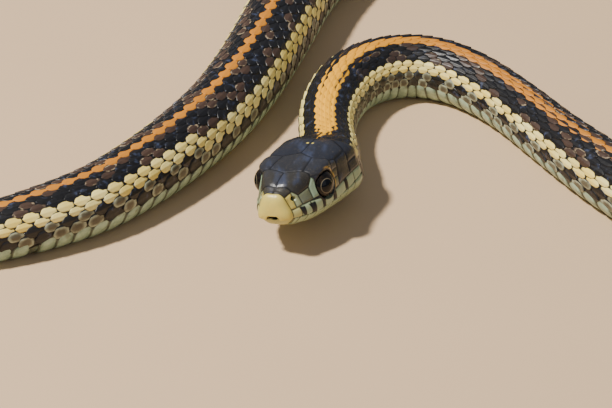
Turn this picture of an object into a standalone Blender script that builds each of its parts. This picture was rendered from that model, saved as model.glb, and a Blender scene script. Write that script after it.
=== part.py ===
"""A plains garter snake at life size, resting on a floor with its head a little raised.

The body is one long form. Its belly line runs over the floor, and a section stands on that line
at every distance from the snout. Head, jaw, eyes, neck and the lengths of the body and tail are
parted from it with cuts 0.3 mm wide. Shields stand proud on the head, and the plates of the
belly overlap towards the tail.
"""

import math

import bmesh
import bpy
import numpy as np
from mathutils import Vector

MM = 0.001

# Lengths along the snake, from the tip of the snout
HEAD_LENGTH = 19.5 * MM
SKULL_LENGTH = 15.0 * MM
VENT_AT = 398 * MM
TAIL_TIP_AT = 515 * MM
GAP = 0.3 * MM

# The snout's place on the floor, seen from the middle of the resting shape, and its height
SNOUT_PLACE = (6.6 * MM, -39.0 * MM)
MOUTH_HEIGHT = 5.5 * MM
HEAD_YAW = math.radians(23.9)
HEAD_RISE = math.radians(7.2)
HEAD_ROLL = math.radians(9.1)
THROAT_DEPTH = 2.5 * MM

# Where the belly line runs over the floor behind the skull, in mm from the snout
ROUTE = (
    (7.5, 17.7), (7.2, 22.5), (7.0, 27.0), (7.6, 32.0), (9.6, 37.2), (13.4, 40.9), (18.4, 42.2),
    (23.4, 40.5), (27.7, 36.6), (31.3, 31.6), (34.8, 25.4), (38.1, 19.6), (42.3, 12.9),
    (48.1, 5.4), (55.6, -1.2), (64.0, -5.4), (73.3, -6.6), (82.9, -5.1), (92.0, -0.7),
    (100.4, 6.6), (106.4, 16.4), (109.0, 28.0), (108.0, 40.2), (103.4, 52.6), (95.0, 64.0),
    (84.0, 72.6), (71.6, 77.8), (58.0, 80.8), (43.5, 83.4), (29.0, 83.8), (16.0, 80.4),
    (7.4, 72.4), (3.0, 62.6), (0.9, 54.6), (-1.2, 46.6), (-3.8, 37.8), (-7.2, 29.0),
    (-11.7, 20.8), (-16.8, 13.5), (-22.1, 7.7), (-28.4, 3.5), (-36.6, -0.2), (-47.5, -2.8),
    (-59.5, -2.6), (-71.0, 1.0), (-81.5, 8.4), (-90.5, 18.4), (-99.5, 28.6), (-110.0, 37.0),
    (-121.0, 42.6), (-130.0, 45.4),
)

# How far the belly is off the floor, and how far the body leans, behind the skull: (mm, mm, degrees)
LEAN = (
    (15.0, 1.17, 9.1), (19.5, 0.66, 8.4), (24.0, 0.38, 6.5), (30.0, 0.13, 3.2), (37.0, 0.0, 0.0),
    (45.0, 0.0, 0.0),
)

# Width of the body at distances from the snout, both in mm
WIDTH = (
    (19.5, 7.7), (25.0, 7.3), (31.0, 7.7), (37.0, 8.2), (44.0, 8.6), (51.0, 8.5), (59.0, 7.9),
    (67.0, 7.5), (75.0, 7.6), (83.0, 8.0), (92.0, 8.5), (120.0, 9.8), (160.0, 11.0),
    (215.0, 11.6), (265.0, 11.4), (300.0, 11.1), (328.0, 10.8), (345.0, 10.2), (365.0, 9.5),
    (382.0, 8.9), (398.0, 8.0), (406.0, 7.2), (425.0, 6.0), (455.0, 4.6), (485.0, 3.1),
    (503.0, 1.9), (515.0, 1.0),
)
HEIGHT_TO_WIDTH = 0.9
SQUARENESS = 2.15
CENTRE_HEIGHT = 0.47
BELLY_DEPTH = 1.15

# Where the body is parted into lengths, in mm from the snout
CUTS = (41, 64, 109, 140, 175, 214, 257, 307, 358, 398, 428, 452, 496)

# Length of one belly plate at distances from the snout, both in mm
PLATE_LENGTH = (
    (15.0, 1.8), (45.0, 2.1), (90.0, 2.55), (180.0, 2.7), (280.0, 2.65), (350.0, 2.35), (395.0, 2.05),
    (405.0, 2.9), (430.0, 2.8), (470.0, 2.4), (515.0, 1.8),
)
PLATE_STEP = 0.22 * MM
PLATE_LIP = 0.12 * MM
PRESSED_FLAT_EVERY = 4

# Places round a section in degrees from the middle of the back: the plates start past the fourth
BODY_ANGLES = (0, 28, 56, 84, 106, 115, 151, 180)
TAIL_ANGLES = (0, 38, 76, 106, 116, 151, 180)
PLATE_FROM = 110
FLOOR_FROM = 140

# The head, in mm back from the snout: half width at the lips, half width and height of the brow,
# height of the crown and depth of the jaw, the heights from the line of the mouth
HEAD_STATIONS = (
    (1.3, 2.25, 1.30, 2.60, 3.00, 1.15),
    (2.5, 3.05, 1.85, 3.25, 3.75, 1.55),
    (4.4, 3.95, 2.60, 3.90, 4.25, 1.95),
    (6.8, 4.50, 3.90, 4.25, 4.60, 2.20),
    (8.6, 4.75, 4.05, 4.35, 4.75, 2.35),
    (10.5, 4.95, 4.20, 4.35, 4.90, 2.50),
    (13.0, 5.20, 4.40, 4.20, 5.05, 2.60),
    (15.2, 5.40, 4.45, 4.10, 5.00, 2.65),
    (17.2, 5.20, 4.05, 3.85, 4.75, 2.60),
    (19.5, 4.30, 3.30, 3.50, 4.35, 2.50),
)
HEAD_CENTRE = 1.0 * MM
SNOUT_ROUND = 1.3 * MM
SNOUT_BLUNT = 2.4
JAW_SET_BACK = 0.35 * MM
NAPE_FROM = 15.5 * MM

# The line of the mouth seen from the side, in mm back from the snout and up from the snout's lip
MOUTH_LINE = (
    (-2.0, -0.35), (0.0, -0.35), (2.0, -0.45), (4.5, -0.60), (8.0, -0.55), (12.5, -0.10), (15.2, 0.50),
)
MOUTH_CORNER = 15.2 * MM

EYE_AT = (7.0 * MM, 3.55 * MM, 2.10 * MM)
EYE_RADIUS = 1.62 * MM
NOSTRIL_AT = (1.95 * MM, 2.25 * MM, 1.95 * MM)
NOSTRIL_RADIUS = 0.32 * MM
NOSTRIL_DEPTH = 0.45 * MM

# The gap for the tongue at the front of the upper lip, half its width and half its height
TONGUE_GAP = (0.62 * MM, 0.30 * MM)
TONGUE_GAP_DEPTH = 0.9 * MM

HEAD_SIDES = 36

# Shields of the head as outlines of (mm back from the snout, degrees from the middle of the crown).
# Those of the left side are mirrored to the right.
MIDLINE_SHIELDS = {
    "rostral": ((0.84, 0), (0.98, 44), (1.26, 99), (1.22, 122), (1.22, 238), (1.26, 261), (0.98, 316)),
    "frontal": ((4.40, 0), (5.10, 33), (8.60, 27), (9.75, 0), (8.60, -27), (5.10, -33)),
}
PAIRED_SHIELDS = {
    "internasal": ((0.86, 0), (1.00, 44), (2.15, 46), (1.80, 0)),
    "prefrontal": ((1.80, 0), (2.15, 46), (2.70, 63), (4.35, 61), (5.10, 34), (4.40, 0)),
    "supraocular": ((5.15, 34), (5.05, 50), (6.20, 55), (7.70, 55), (8.95, 51), (8.65, 28)),
    "parietal": ((8.70, 28), (9.00, 45), (12.60, 50), (14.20, 26), (14.00, 0), (9.85, 0)),
    "nasal": ((1.02, 48), (1.30, 97), (2.75, 90), (2.65, 65), (2.15, 48)),
    "loreal": ((2.78, 66), (2.85, 90), (4.30, 88), (4.35, 63)),
    "preocular": ((4.40, 63), (4.40, 88), (5.20, 86), (5.20, 58)),
    "postocular": ((9.10, 50), (8.90, 84), (10.10, 86), (10.30, 52)),
    "temporal": ((10.40, 54), (10.25, 87), (13.20, 83), (12.80, 53)),
}
LABIAL_EDGES = (1.27, 2.4, 3.8, 5.7, 8.0, 11.0, 13.3, 15.2)
LABIAL_TOPS = ((1.2, 99.0), (2.6, 92.0), (4.8, 89.0), (7.0, 97.0), (9.0, 90.0), (13.0, 85.0), (15.5, 82.0))
LABIAL_FOOT = 116
SHIELD_RISE = 0.13 * MM
SHIELD_ROOT = 0.5 * MM
SHIELD_SEAM = 0.1 * MM
SHIELD_SLOPE = 0.1 * MM
SHIELD_TURN = 27


def smooth_table(rows, column=1):
    """Return a function that follows a column of a table without overshooting it."""
    table = np.array(rows, dtype=float)
    x = table[:, 0]
    y = table[:, column]
    step = np.diff(x)
    rise = np.diff(y) / step
    slope = np.zeros(len(x))
    slope[0] = rise[0]
    slope[-1] = rise[-1]
    for i in range(1, len(x) - 1):
        if rise[i - 1] * rise[i] > 0:
            before = 2 * step[i] + step[i - 1]
            after = step[i] + 2 * step[i - 1]
            slope[i] = (before + after) / (before / rise[i - 1] + after / rise[i])

    def value(at):
        at = np.clip(at, x[0], x[-1])
        i = np.clip(np.searchsorted(x, at) - 1, 0, len(x) - 2)
        t = (at - x[i]) / step[i]
        return (
            y[i] * (1 + 2 * t) * (1 - t) ** 2
            + slope[i] * step[i] * t * (1 - t) ** 2
            + y[i + 1] * t * t * (3 - 2 * t)
            + slope[i + 1] * step[i] * t * t * (t - 1)
        )

    return value


def ease(low, high, at):
    """Go from 0 to 1 with level ends."""
    t = np.clip((at - low) / (high - low), 0.0, 1.0)
    return t * t * (3 - 2 * t)


def head_frame():
    """Return the snout's lip point and the head's back, left and up directions."""
    yaw, rise, roll = HEAD_YAW, HEAD_RISE, HEAD_ROLL
    forward = np.array((-math.sin(yaw) * math.cos(rise), -math.cos(yaw) * math.cos(rise), math.sin(rise)))
    level = np.array((math.cos(yaw), -math.sin(yaw), 0.0))
    left = level * math.cos(roll) + np.cross(forward, level) * math.sin(roll)
    up = np.cross(forward, left)
    snout = np.array((SNOUT_PLACE[0], SNOUT_PLACE[1], MOUTH_HEIGHT))
    return snout, -forward, left, up


class BellyLine:
    """The line that the underside follows, straight under the head and curved behind it."""

    def __init__(self):
        snout, back, left, up = head_frame()
        self.start = snout - up * THROAT_DEPTH
        self.back = back
        lift = smooth_table(LEAN, 1)
        base = self.start + back * SKULL_LENGTH
        before = base - back * 6 * MM
        flat = [np.array(SNOUT_PLACE) + np.array(point) * MM for point in ROUTE]
        plan = np.array([before[:2], base[:2], *flat])
        fine = self.through(plan)
        run = np.concatenate(([0.0], np.cumsum(np.linalg.norm(np.diff(fine, axis=0), axis=1))))
        first = int(np.argmin(np.linalg.norm(fine - base[:2], axis=1)))
        self.run = run[first:] - run[first] + SKULL_LENGTH
        height = lift(self.run / MM) * MM
        self.points = np.column_stack((fine[first:], height))
        self.lean = smooth_table(LEAN, 2)

    @staticmethod
    def through(points, per_span=24):
        """A smooth plane curve through the points, its parts timed by their distances."""
        padded = np.vstack((2 * points[0] - points[1], points, 2 * points[-1] - points[-2]))
        knots = np.concatenate(([0.0], np.cumsum(np.linalg.norm(np.diff(padded, axis=0), axis=1) ** 0.5)))
        out = []
        for i in range(1, len(padded) - 2):
            t0, t1, t2, t3 = knots[i - 1:i + 3]
            for t in np.linspace(t1, t2, per_span, endpoint=False):
                a1 = ((t1 - t) * padded[i - 1] + (t - t0) * padded[i]) / (t1 - t0)
                a2 = ((t2 - t) * padded[i] + (t - t1) * padded[i + 1]) / (t2 - t1)
                a3 = ((t3 - t) * padded[i + 1] + (t - t2) * padded[i + 2]) / (t3 - t2)
                b1 = ((t2 - t) * a1 + (t - t0) * a2) / (t2 - t0)
                b2 = ((t3 - t) * a2 + (t - t1) * a3) / (t3 - t1)
                out.append(((t2 - t) * b1 + (t - t1) * b2) / (t2 - t1))
        out.append(points[-1])
        return np.array(out)

    def at(self, s):
        """Return the belly point and the left and up directions at a distance from the snout."""
        if s <= SKULL_LENGTH:
            snout, back, left, up = head_frame()
            return self.start + back * s, left, up
        reach = 1.0 * MM
        here = self.place(s)
        along = self.place(s + reach) - self.place(s - reach)
        along /= np.linalg.norm(along)
        up = np.array((0.0, 0.0, 1.0))
        up -= along * up.dot(along)
        up /= np.linalg.norm(up)
        left = np.cross(along, up)
        lean = math.radians(float(self.lean(s / MM)))
        return here, left * math.cos(lean) + up * math.sin(lean), up * math.cos(lean) - left * math.sin(lean)

    def place(self, s):
        if s <= SKULL_LENGTH:
            return self.start + self.back * s
        return np.array([np.interp(s, self.run, self.points[:, axis]) for axis in range(3)])


def body_radius(s, angles):
    """The body's section about its centre: round above, flat where it lies on the floor."""
    width = float(WIDTH_AT(s / MM)) * MM
    height = width * HEIGHT_TO_WIDTH
    centre = height * CENTRE_HEIGHT
    sine, cosine = np.sin(angles), np.cos(angles)
    reach = np.where(cosine > 0, height - centre, centre * BELLY_DEPTH)
    spread = np.abs(sine / (width / 2)) ** SQUARENESS + np.abs(cosine / reach) ** SQUARENESS
    radius = spread ** (-1 / SQUARENESS)
    floor = np.where(cosine < 0, centre / np.maximum(-cosine, 1e-6), np.inf)
    return np.minimum(radius, floor), centre


def head_radius(a, angles, set_back=0.0):
    """The head's section about its centre, its rounded front moved back by an amount if asked."""
    back = max(a, SNOUT_ROUND) / MM
    lip, brow, brow_height, crown, jaw = (float(column(back)) * MM for column in HEAD_AT)
    side = 0.5 * (lip + brow) + 0.05 * MM
    outline = np.array((
        (0.0, crown),
        (0.6 * brow, crown - 0.12 * (crown - brow_height)),
        (brow, brow_height),
        (side, 0.55 * brow_height),
        (lip, 0.25 * MM),
        (lip - 0.04 * MM, -0.35 * MM),
        (0.87 * lip, -0.50 * jaw),
        (0.67 * lip, -0.82 * jaw),
        (0.40 * lip, -jaw),
        (0.0, -jaw - 0.02 * MM),
    ))
    mirrored = outline[1:-1][::-1] * (-1, 1)
    loop = BellyLine.through(np.vstack((outline, mirrored, outline[:1])), per_span=8)
    polar = np.arctan2(loop[:, 0], loop[:, 1] - HEAD_CENTRE)
    reach = np.hypot(loop[:, 0], loop[:, 1] - HEAD_CENTRE)
    order = np.argsort(polar)
    radius = np.interp(angles, polar[order], reach[order], period=2 * math.pi)
    depth = np.clip(1 - (a - set_back) / SNOUT_ROUND, 0.0, 1.0)
    return radius * (1 - depth ** SNOUT_BLUNT) ** (1 / SNOUT_BLUNT)


def section(s, angles, set_back=0.0):
    """Return radii, the centre's height over the belly line, and so the whole snake's form."""
    if s >= HEAD_LENGTH:
        return body_radius(s, angles)
    head = head_radius(s, angles, set_back)
    centre = THROAT_DEPTH + HEAD_CENTRE
    if s <= NAPE_FROM:
        return head, centre
    neck, neck_centre = body_radius(HEAD_LENGTH, angles)
    share = float(ease(NAPE_FROM, HEAD_LENGTH, s))
    return head * (1 - share) + neck * share, centre * (1 - share) + neck_centre * share


def ring(line, s, angles, set_back=0.0):
    """World points of the section at a distance from the snout."""
    base, left, up = line.at(s)
    radius, centre = section(s, angles, set_back)
    side = np.outer(radius * np.sin(angles), left)
    rise = np.outer(centre + radius * np.cos(angles), up)
    return base + side + rise


def loft(name, rings, tips=(None, None)):
    """Make a closed mesh object through rings of like points, each end flat or drawn to a tip."""
    mesh = bpy.data.meshes.new(name)
    form = bmesh.new()
    rows = [[form.verts.new(point) for point in points] for points in rings]
    count = len(rows[0])
    for near, far in zip(rows, rows[1:]):
        for i in range(count):
            j = (i + 1) % count
            form.faces.new((near[i], near[j], far[j], far[i]))
    for row, tip in ((rows[0][::-1], tips[0]), (rows[-1], tips[1])):
        if tip is None:
            form.faces.new(row)
            continue
        point = form.verts.new(tip)
        for i in range(count):
            form.faces.new((row[i], row[(i + 1) % count], point))
    bmesh.ops.recalc_face_normals(form, faces=form.faces)
    bmesh.ops.triangulate(form, faces=[face for face in form.faces if len(face.verts) > 3])
    form.to_mesh(mesh)
    form.free()
    piece = bpy.data.objects.new(name, mesh)
    bpy.context.collection.objects.link(piece)
    return piece


def material(name, colour, roughness):
    made = bpy.data.materials.new(name)
    made.use_nodes = True
    shader = made.node_tree.nodes["Principled BSDF"]
    shader.inputs["Base Color"].default_value = (*colour, 1.0)
    shader.inputs["Roughness"].default_value = roughness
    shader.inputs["Metallic"].default_value = 0.0
    return made


def finish(piece, look):
    """Give a piece its material and smooth shading."""
    piece.data.materials.clear()
    piece.data.materials.append(look)
    piece.data.shade_smooth()
    piece.data.set_sharp_from_angle(angle=math.radians(50))


def apply_boolean(piece, tool, operation):
    """Join or cut a piece by a tool, apply it, and remove the tool."""
    modifier = piece.modifiers.new(operation, "BOOLEAN")
    modifier.operation = operation
    modifier.solver = "EXACT"
    modifier.object = tool
    evaluated = piece.evaluated_get(bpy.context.evaluated_depsgraph_get())
    cut = bpy.data.meshes.new_from_object(evaluated)
    piece.modifiers.clear()
    piece.data = cut
    bpy.data.objects.remove(tool)


def head_point(back, left, up):
    """Turn a place measured on the head into world coordinates."""
    snout, back_way, left_way, up_way = head_frame()
    return Vector(snout + back_way * back + left_way * left + up_way * up)


def crown_point(line, a, angle, out=0.0):
    """A point of the head's surface at a distance and an angle in degrees, moved along its normal."""
    if a == 0.0:
        snout, back, left, up = head_frame()
        return snout + up * HEAD_CENTRE - back * out
    turn = math.radians(angle)
    here = ring(line, a, np.array([turn]))[0]
    ahead = ring(line, max(a - 0.2 * MM, 0.0), np.array([turn]))[0]
    behind = ring(line, a + 0.2 * MM, np.array([turn]))[0]
    clockwise, counter = ring(line, a, np.array([turn - 0.04, turn + 0.04]))
    normal = np.cross(counter - clockwise, behind - ahead)
    return here + normal / np.linalg.norm(normal) * out


def shield(line, outline):
    """A thin plate with sloped sides whose root is sunk in the head."""
    corners = np.array(outline, dtype=float)
    points = []
    for start, end in zip(corners, np.roll(corners, -1, axis=0)):
        turn = (end[1] - start[1] + 180) % 360 - 180
        parts = 1 + int(max(abs(end[0] - start[0]) / 2.2, abs(turn) / SHIELD_TURN))
        points += [start + np.array((end[0] - start[0], turn)) * i / parts for i in range(parts)]
    if corners[:, 0].max() < SNOUT_ROUND / MM:
        middle = (0.0, 0.0)
    else:
        middle = corners.mean(axis=0)
    centre = Vector(crown_point(line, middle[0] * MM, middle[1], 0.0))
    rings = []
    levels = (
        (-SHIELD_ROOT, SHIELD_SEAM), (0.0, SHIELD_SEAM), (SHIELD_RISE, SHIELD_SEAM + SHIELD_SLOPE),
    )
    for out, inset in levels:
        row = []
        for a, angle in points:
            edge = Vector(crown_point(line, a * MM, angle, out))
            surface = Vector(crown_point(line, a * MM, angle))
            row.append(edge + (centre - surface).normalized() * inset)
        rings.append(row)
    top = Vector(crown_point(line, middle[0] * MM, middle[1], SHIELD_RISE))
    root = Vector(crown_point(line, middle[0] * MM, middle[1], -SHIELD_ROOT))
    return loft("shield", rings, (root, top))


def labial_outlines():
    """The seven upper lip plates of one side, from the rostral to the corner of the mouth."""
    top = smooth_table(LABIAL_TOPS)
    for front, back in zip(LABIAL_EDGES, LABIAL_EDGES[1:]):
        high_front, high_back = float(top(front)), float(top(back))
        yield (
            (front, high_front), (back, high_back), (back, (high_back + LABIAL_FOOT) / 2),
            (back, LABIAL_FOOT), (front, LABIAL_FOOT), (front, (high_front + LABIAL_FOOT) / 2),
        )


def add_shields(line, head):
    """Join every shield to the head in one union, and keep the one closed body that it makes."""
    outlines = list(MIDLINE_SHIELDS.values())
    for outline in (*PAIRED_SHIELDS.values(), *labial_outlines()):
        outlines.append(outline)
        outlines.append(tuple((a, -angle) for a, angle in reversed(outline)))
    shields = bpy.data.collections.new("shields")
    for outline in outlines:
        plate = shield(line, outline)
        bpy.context.collection.objects.unlink(plate)
        shields.objects.link(plate)
    modifier = head.modifiers.new("shields", "BOOLEAN")
    modifier.operation = "UNION"
    modifier.operand_type = "COLLECTION"
    modifier.solver = "EXACT"
    modifier.collection = shields
    joined = bpy.data.meshes.new_from_object(head.evaluated_get(bpy.context.evaluated_depsgraph_get()))
    head.modifiers.clear()
    head.data = joined
    for plate in list(shields.objects):
        bpy.data.objects.remove(plate)
    bpy.data.collections.remove(shields)


def keep_largest(piece):
    """Drop loose scraps, so that the piece is the one body with the most vertices."""
    form = bmesh.new()
    form.from_mesh(piece.data)
    left = set(form.verts)
    islands = []
    while left:
        island = {left.pop()}
        edge = list(island)
        while edge:
            vertex = edge.pop()
            for link in vertex.link_edges:
                other = link.other_vert(vertex)
                if other in left:
                    left.discard(other)
                    island.add(other)
                    edge.append(other)
        islands.append(island)
    largest = max(islands, key=len)
    scraps = [vertex for island in islands if island is not largest for vertex in island]
    bmesh.ops.delete(form, geom=scraps, context="VERTS")
    form.to_mesh(piece.data)
    form.free()


def mouth_block(name, grow):
    """Everything below the line of the mouth and in front of its corner, grown by an amount."""
    line = smooth_table(MOUTH_LINE)
    reach = 9 * MM
    stations = np.linspace(-2 * MM, MOUTH_CORNER + grow, 24)
    outline = [(a, float(line(a / MM)) * MM - GAP / 2 + grow) for a in stations]
    outline += [(MOUTH_CORNER + 1.4 * MM + grow, -reach), (-2 * MM, -reach)]
    rings = [[head_point(a, side, c) for a, c in outline] for side in (-reach, reach)]
    return loft(name, rings)


def ball(name, centre, radius, segments=18):
    """A closed sphere with its poles out to the sides of the head."""
    snout, back_way, left_way, up_way = head_frame()
    rings = []
    for i in range(1, segments // 2):
        tilt = math.pi * i / (segments // 2)
        rings.append([
            centre
            + Vector(left_way) * (radius * math.cos(tilt))
            + Vector(back_way) * (radius * math.sin(tilt) * math.cos(turn))
            + Vector(up_way) * (radius * math.sin(tilt) * math.sin(turn))
            for turn in (2 * math.pi * k / segments for k in range(segments))
        ])
    ends = (centre + Vector(left_way) * radius, centre - Vector(left_way) * radius)
    return loft(name, rings, ends)


def nostril_cutter(side):
    """A short tapered pit that opens outwards and a little forwards."""
    a, b, c = NOSTRIL_AT
    snout, back_way, left_way, up_way = head_frame()
    out = Vector(left_way) * side - Vector(back_way) * 0.35 + Vector(up_way) * 0.1
    out.normalize()
    across = out.cross(Vector(up_way)).normalized()
    above = across.cross(out)
    mouth = head_point(a, b * side, c)
    rings = []
    for depth, radius in ((-NOSTRIL_DEPTH, 0.6 * NOSTRIL_RADIUS), (1.2 * MM, 1.3 * NOSTRIL_RADIUS)):
        rings.append([
            mouth + out * depth + (across * math.cos(turn) + above * math.sin(turn)) * radius
            for turn in (2 * math.pi * k / 10 for k in range(10))
        ])
    return loft("nostril_cutter", rings)


def tongue_cutter():
    """An oval rod that enters the upper lip at its middle, just over the line of the mouth."""
    half_width, half_height = TONGUE_GAP
    height = MOUTH_LINE[1][1] * MM + half_height / 2
    rings = []
    for back in (-1.0 * MM, TONGUE_GAP_DEPTH):
        rings.append([
            head_point(back, half_width * math.cos(turn), height + half_height * math.sin(turn))
            for turn in (2 * math.pi * k / 12 for k in range(12))
        ])
    return loft("tongue_cutter", rings)


def head_whole(line, name, set_back=0.0):
    """The closed form of the head, upper and lower together, back to the neck."""
    angles = np.linspace(-math.pi, math.pi, HEAD_SIDES, endpoint=False)
    front = set_back + SNOUT_ROUND * (1 - np.cos(np.linspace(0.25, math.pi / 2, 5)))
    rest = np.linspace(front[-1], HEAD_LENGTH, 22)[1:]
    rings = [ring(line, float(a), angles, set_back) for a in (*front, *rest)]
    tip = head_point(set_back, 0.0, HEAD_CENTRE)
    return loft(name, rings, (tip, None))


def make_head(line, look):
    head = head_whole(line, "head")
    add_shields(line, head)
    apply_boolean(head, mouth_block("mouth_cutter", GAP), "DIFFERENCE")
    for side in (1, -1):
        a, b, c = EYE_AT
        socket = ball("socket_cutter", head_point(a, b * side, c), EYE_RADIUS + GAP)
        apply_boolean(head, socket, "DIFFERENCE")
        apply_boolean(head, nostril_cutter(side), "DIFFERENCE")
    apply_boolean(head, tongue_cutter(), "DIFFERENCE")
    keep_largest(head)
    finish(head, look)


def make_jaw(line, look):
    jaw = head_whole(line, "lower_jaw", JAW_SET_BACK)
    apply_boolean(jaw, mouth_block("jaw_keeper", 0.0), "INTERSECT")
    finish(jaw, look)


def make_eyes(look):
    a, b, c = EYE_AT
    for name, side in (("eye_left", 1), ("eye_right", -1)):
        finish(ball(name, head_point(a, b * side, c), EYE_RADIUS), look)


def plate_edges():
    """Distances from the snout where one belly plate ends and the next begins."""
    length = smooth_table(PLATE_LENGTH)
    edges = [HEAD_LENGTH]
    while edges[-1] < TAIL_TIP_AT - 4 * MM:
        edges.append(edges[-1] + float(length(edges[-1] / MM)) * MM)
    return edges


def ring_angles(half):
    """All the angles round a section, from those of one side."""
    left = np.radians(half)
    return np.concatenate((-left[:0:-1], left[:-1]))


def plated_ring(line, s, angles, front_of_plate, pressed):
    """A section whose belly is set in at the front of a plate, where the plate before covers it."""
    points = ring(line, s, angles)
    if not front_of_plate:
        return points
    base, left, up = line.at(s)
    radius, centre = section(s, angles)
    step = PLATE_STEP * min(1.0, float(WIDTH_AT(s / MM)) / 7.0)
    for i, angle in enumerate(np.degrees(np.abs(angles))):
        on_floor = angle > FLOOR_FROM
        if angle < PLATE_FROM or (pressed and on_floor):
            continue
        way = up if on_floor else (base + up * centre - points[i]) / radius[i]
        points[i] = points[i] + way * step
    return points


def make_lengths(line, look):
    """The neck, the lengths of the body and the tail, each parted from the next by the gap."""
    cuts = [HEAD_LENGTH, *(cut * MM for cut in CUTS), TAIL_TIP_AT]
    bodies = sum(1 for cut in CUTS if cut * MM <= VENT_AT) - 1
    names = ["neck"]
    names += [f"body_{i + 1}" for i in range(bodies)]
    names += [f"tail_{i + 1}" for i in range(len(cuts) - 2 - bodies)]
    plates = plate_edges()
    for name, start, end in zip(names, cuts, cuts[1:]):
        angles = ring_angles(TAIL_ANGLES if name.startswith("tail") else BODY_ANGLES)
        last = end >= TAIL_TIP_AT
        start += GAP if name == "neck" else GAP / 2
        end -= GAP / 2
        rings = [ring(line, start, angles)]
        for number, edge in enumerate(plates):
            if start + 4 * PLATE_LIP < edge < end - 6 * PLATE_LIP:
                rings.append(ring(line, edge, angles))
                pressed = number % PRESSED_FLAT_EVERY == 0
                rings.append(plated_ring(line, edge + PLATE_LIP, angles, True, pressed))
        tip = None
        if last:
            base, left, up = line.at(TAIL_TIP_AT)
            tip = base + up * body_radius(TAIL_TIP_AT, angles)[1]
        else:
            rings.append(ring(line, end, angles))
        finish(loft(name, rings, (None, tip)), look)


WIDTH_AT = smooth_table(WIDTH)
HEAD_AT = [smooth_table(HEAD_STATIONS, column) for column in range(1, 6)]


def main():
    for leftover in list(bpy.data.objects):
        bpy.data.objects.remove(leftover)
    line = BellyLine()
    skin = material("snake_skin", (0.16, 0.15, 0.12), 0.45)
    eye = material("snake_eye", (0.03, 0.02, 0.015), 0.1)
    make_head(line, skin)
    make_jaw(line, skin)
    make_eyes(eye)
    make_lengths(line, skin)


main()
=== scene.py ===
import math

import bmesh
import bpy
import numpy as np
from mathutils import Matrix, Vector


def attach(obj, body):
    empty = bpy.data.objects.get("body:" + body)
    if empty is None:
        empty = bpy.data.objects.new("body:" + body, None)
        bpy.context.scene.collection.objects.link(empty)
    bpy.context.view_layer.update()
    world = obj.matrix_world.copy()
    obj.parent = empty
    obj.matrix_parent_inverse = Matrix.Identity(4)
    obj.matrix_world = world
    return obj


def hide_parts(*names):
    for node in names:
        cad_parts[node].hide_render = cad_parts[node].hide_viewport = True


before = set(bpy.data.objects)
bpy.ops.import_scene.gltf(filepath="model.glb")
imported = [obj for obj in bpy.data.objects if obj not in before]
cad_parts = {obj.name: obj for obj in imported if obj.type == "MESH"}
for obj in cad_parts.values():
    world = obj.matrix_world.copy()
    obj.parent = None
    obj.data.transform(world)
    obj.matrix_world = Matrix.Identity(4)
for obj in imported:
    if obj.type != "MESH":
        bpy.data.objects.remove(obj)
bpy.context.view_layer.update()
mm = 0.001

# The snake's form, the same values as the solids, lengths in metres
body = {
    "headLength": 19.5 * mm, "skullLength": 15.0 * mm, "ventAt": 398 * mm, "tailTipAt": 515 * mm,
    "snoutPlace": (6.6 * mm, -39.0 * mm), "mouthHeight": 5.5 * mm,
    "headYaw": math.radians(23.9), "headRise": math.radians(7.2), "headRoll": math.radians(9.1),
    "throatDepth": 2.5 * mm, "heightToWidth": 0.9, "squareness": 2.15,
    "centreHeight": 0.47, "bellyDepth": 1.15,
}
# Belly line over the floor behind the skull, mm from the snout
route = (
    (7.5, 17.7), (7.2, 22.5), (7, 27), (7.6, 32), (9.6, 37.2), (13.4, 40.9), (18.4, 42.2),
    (23.4, 40.5), (27.7, 36.6), (31.3, 31.6), (34.8, 25.4), (38.1, 19.6), (42.3, 12.9),
    (48.1, 5.4), (55.6, -1.2), (64, -5.4), (73.3, -6.6), (82.9, -5.1), (92, -0.7),
    (100.4, 6.6), (106.4, 16.4), (109, 28), (108, 40.2), (103.4, 52.6), (95, 64),
    (84, 72.6), (71.6, 77.8), (58, 80.8), (43.5, 83.4), (29, 83.8), (16, 80.4),
    (7.4, 72.4), (3, 62.6), (0.9, 54.6), (-1.2, 46.6), (-3.8, 37.8), (-7.2, 29),
    (-11.7, 20.8), (-16.8, 13.5), (-22.1, 7.7), (-28.4, 3.5), (-36.6, -0.2), (-47.5, -2.8),
    (-59.5, -2.6), (-71, 1), (-81.5, 8.4), (-90.5, 18.4), (-99.5, 28.6), (-110, 37),
    (-121, 42.6), (-130, 45.4),
)
# mm from the snout: belly off the floor in mm, lean in degrees
leanRows = (
    (15, 1.17, 9.1), (19.5, 0.66, 8.4), (24, 0.38, 6.5), (30, 0.13, 3.2), (37, 0, 0),
    (45, 0, 0),
)
widthRows = (
    (19.5, 7.7), (25, 7.3), (31, 7.7), (37, 8.2), (44, 8.6), (51, 8.5), (59, 7.9),
    (67, 7.5), (75, 7.6), (83, 8), (92, 8.5), (120, 9.8), (160, 11),
    (215, 11.6), (265, 11.4), (300, 11.1), (328, 10.8), (345, 10.2), (365, 9.5),
    (382, 8.9), (398, 8), (406, 7.2), (425, 6), (455, 4.6), (485, 3.1),
    (503, 1.9), (515, 1),
)
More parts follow.
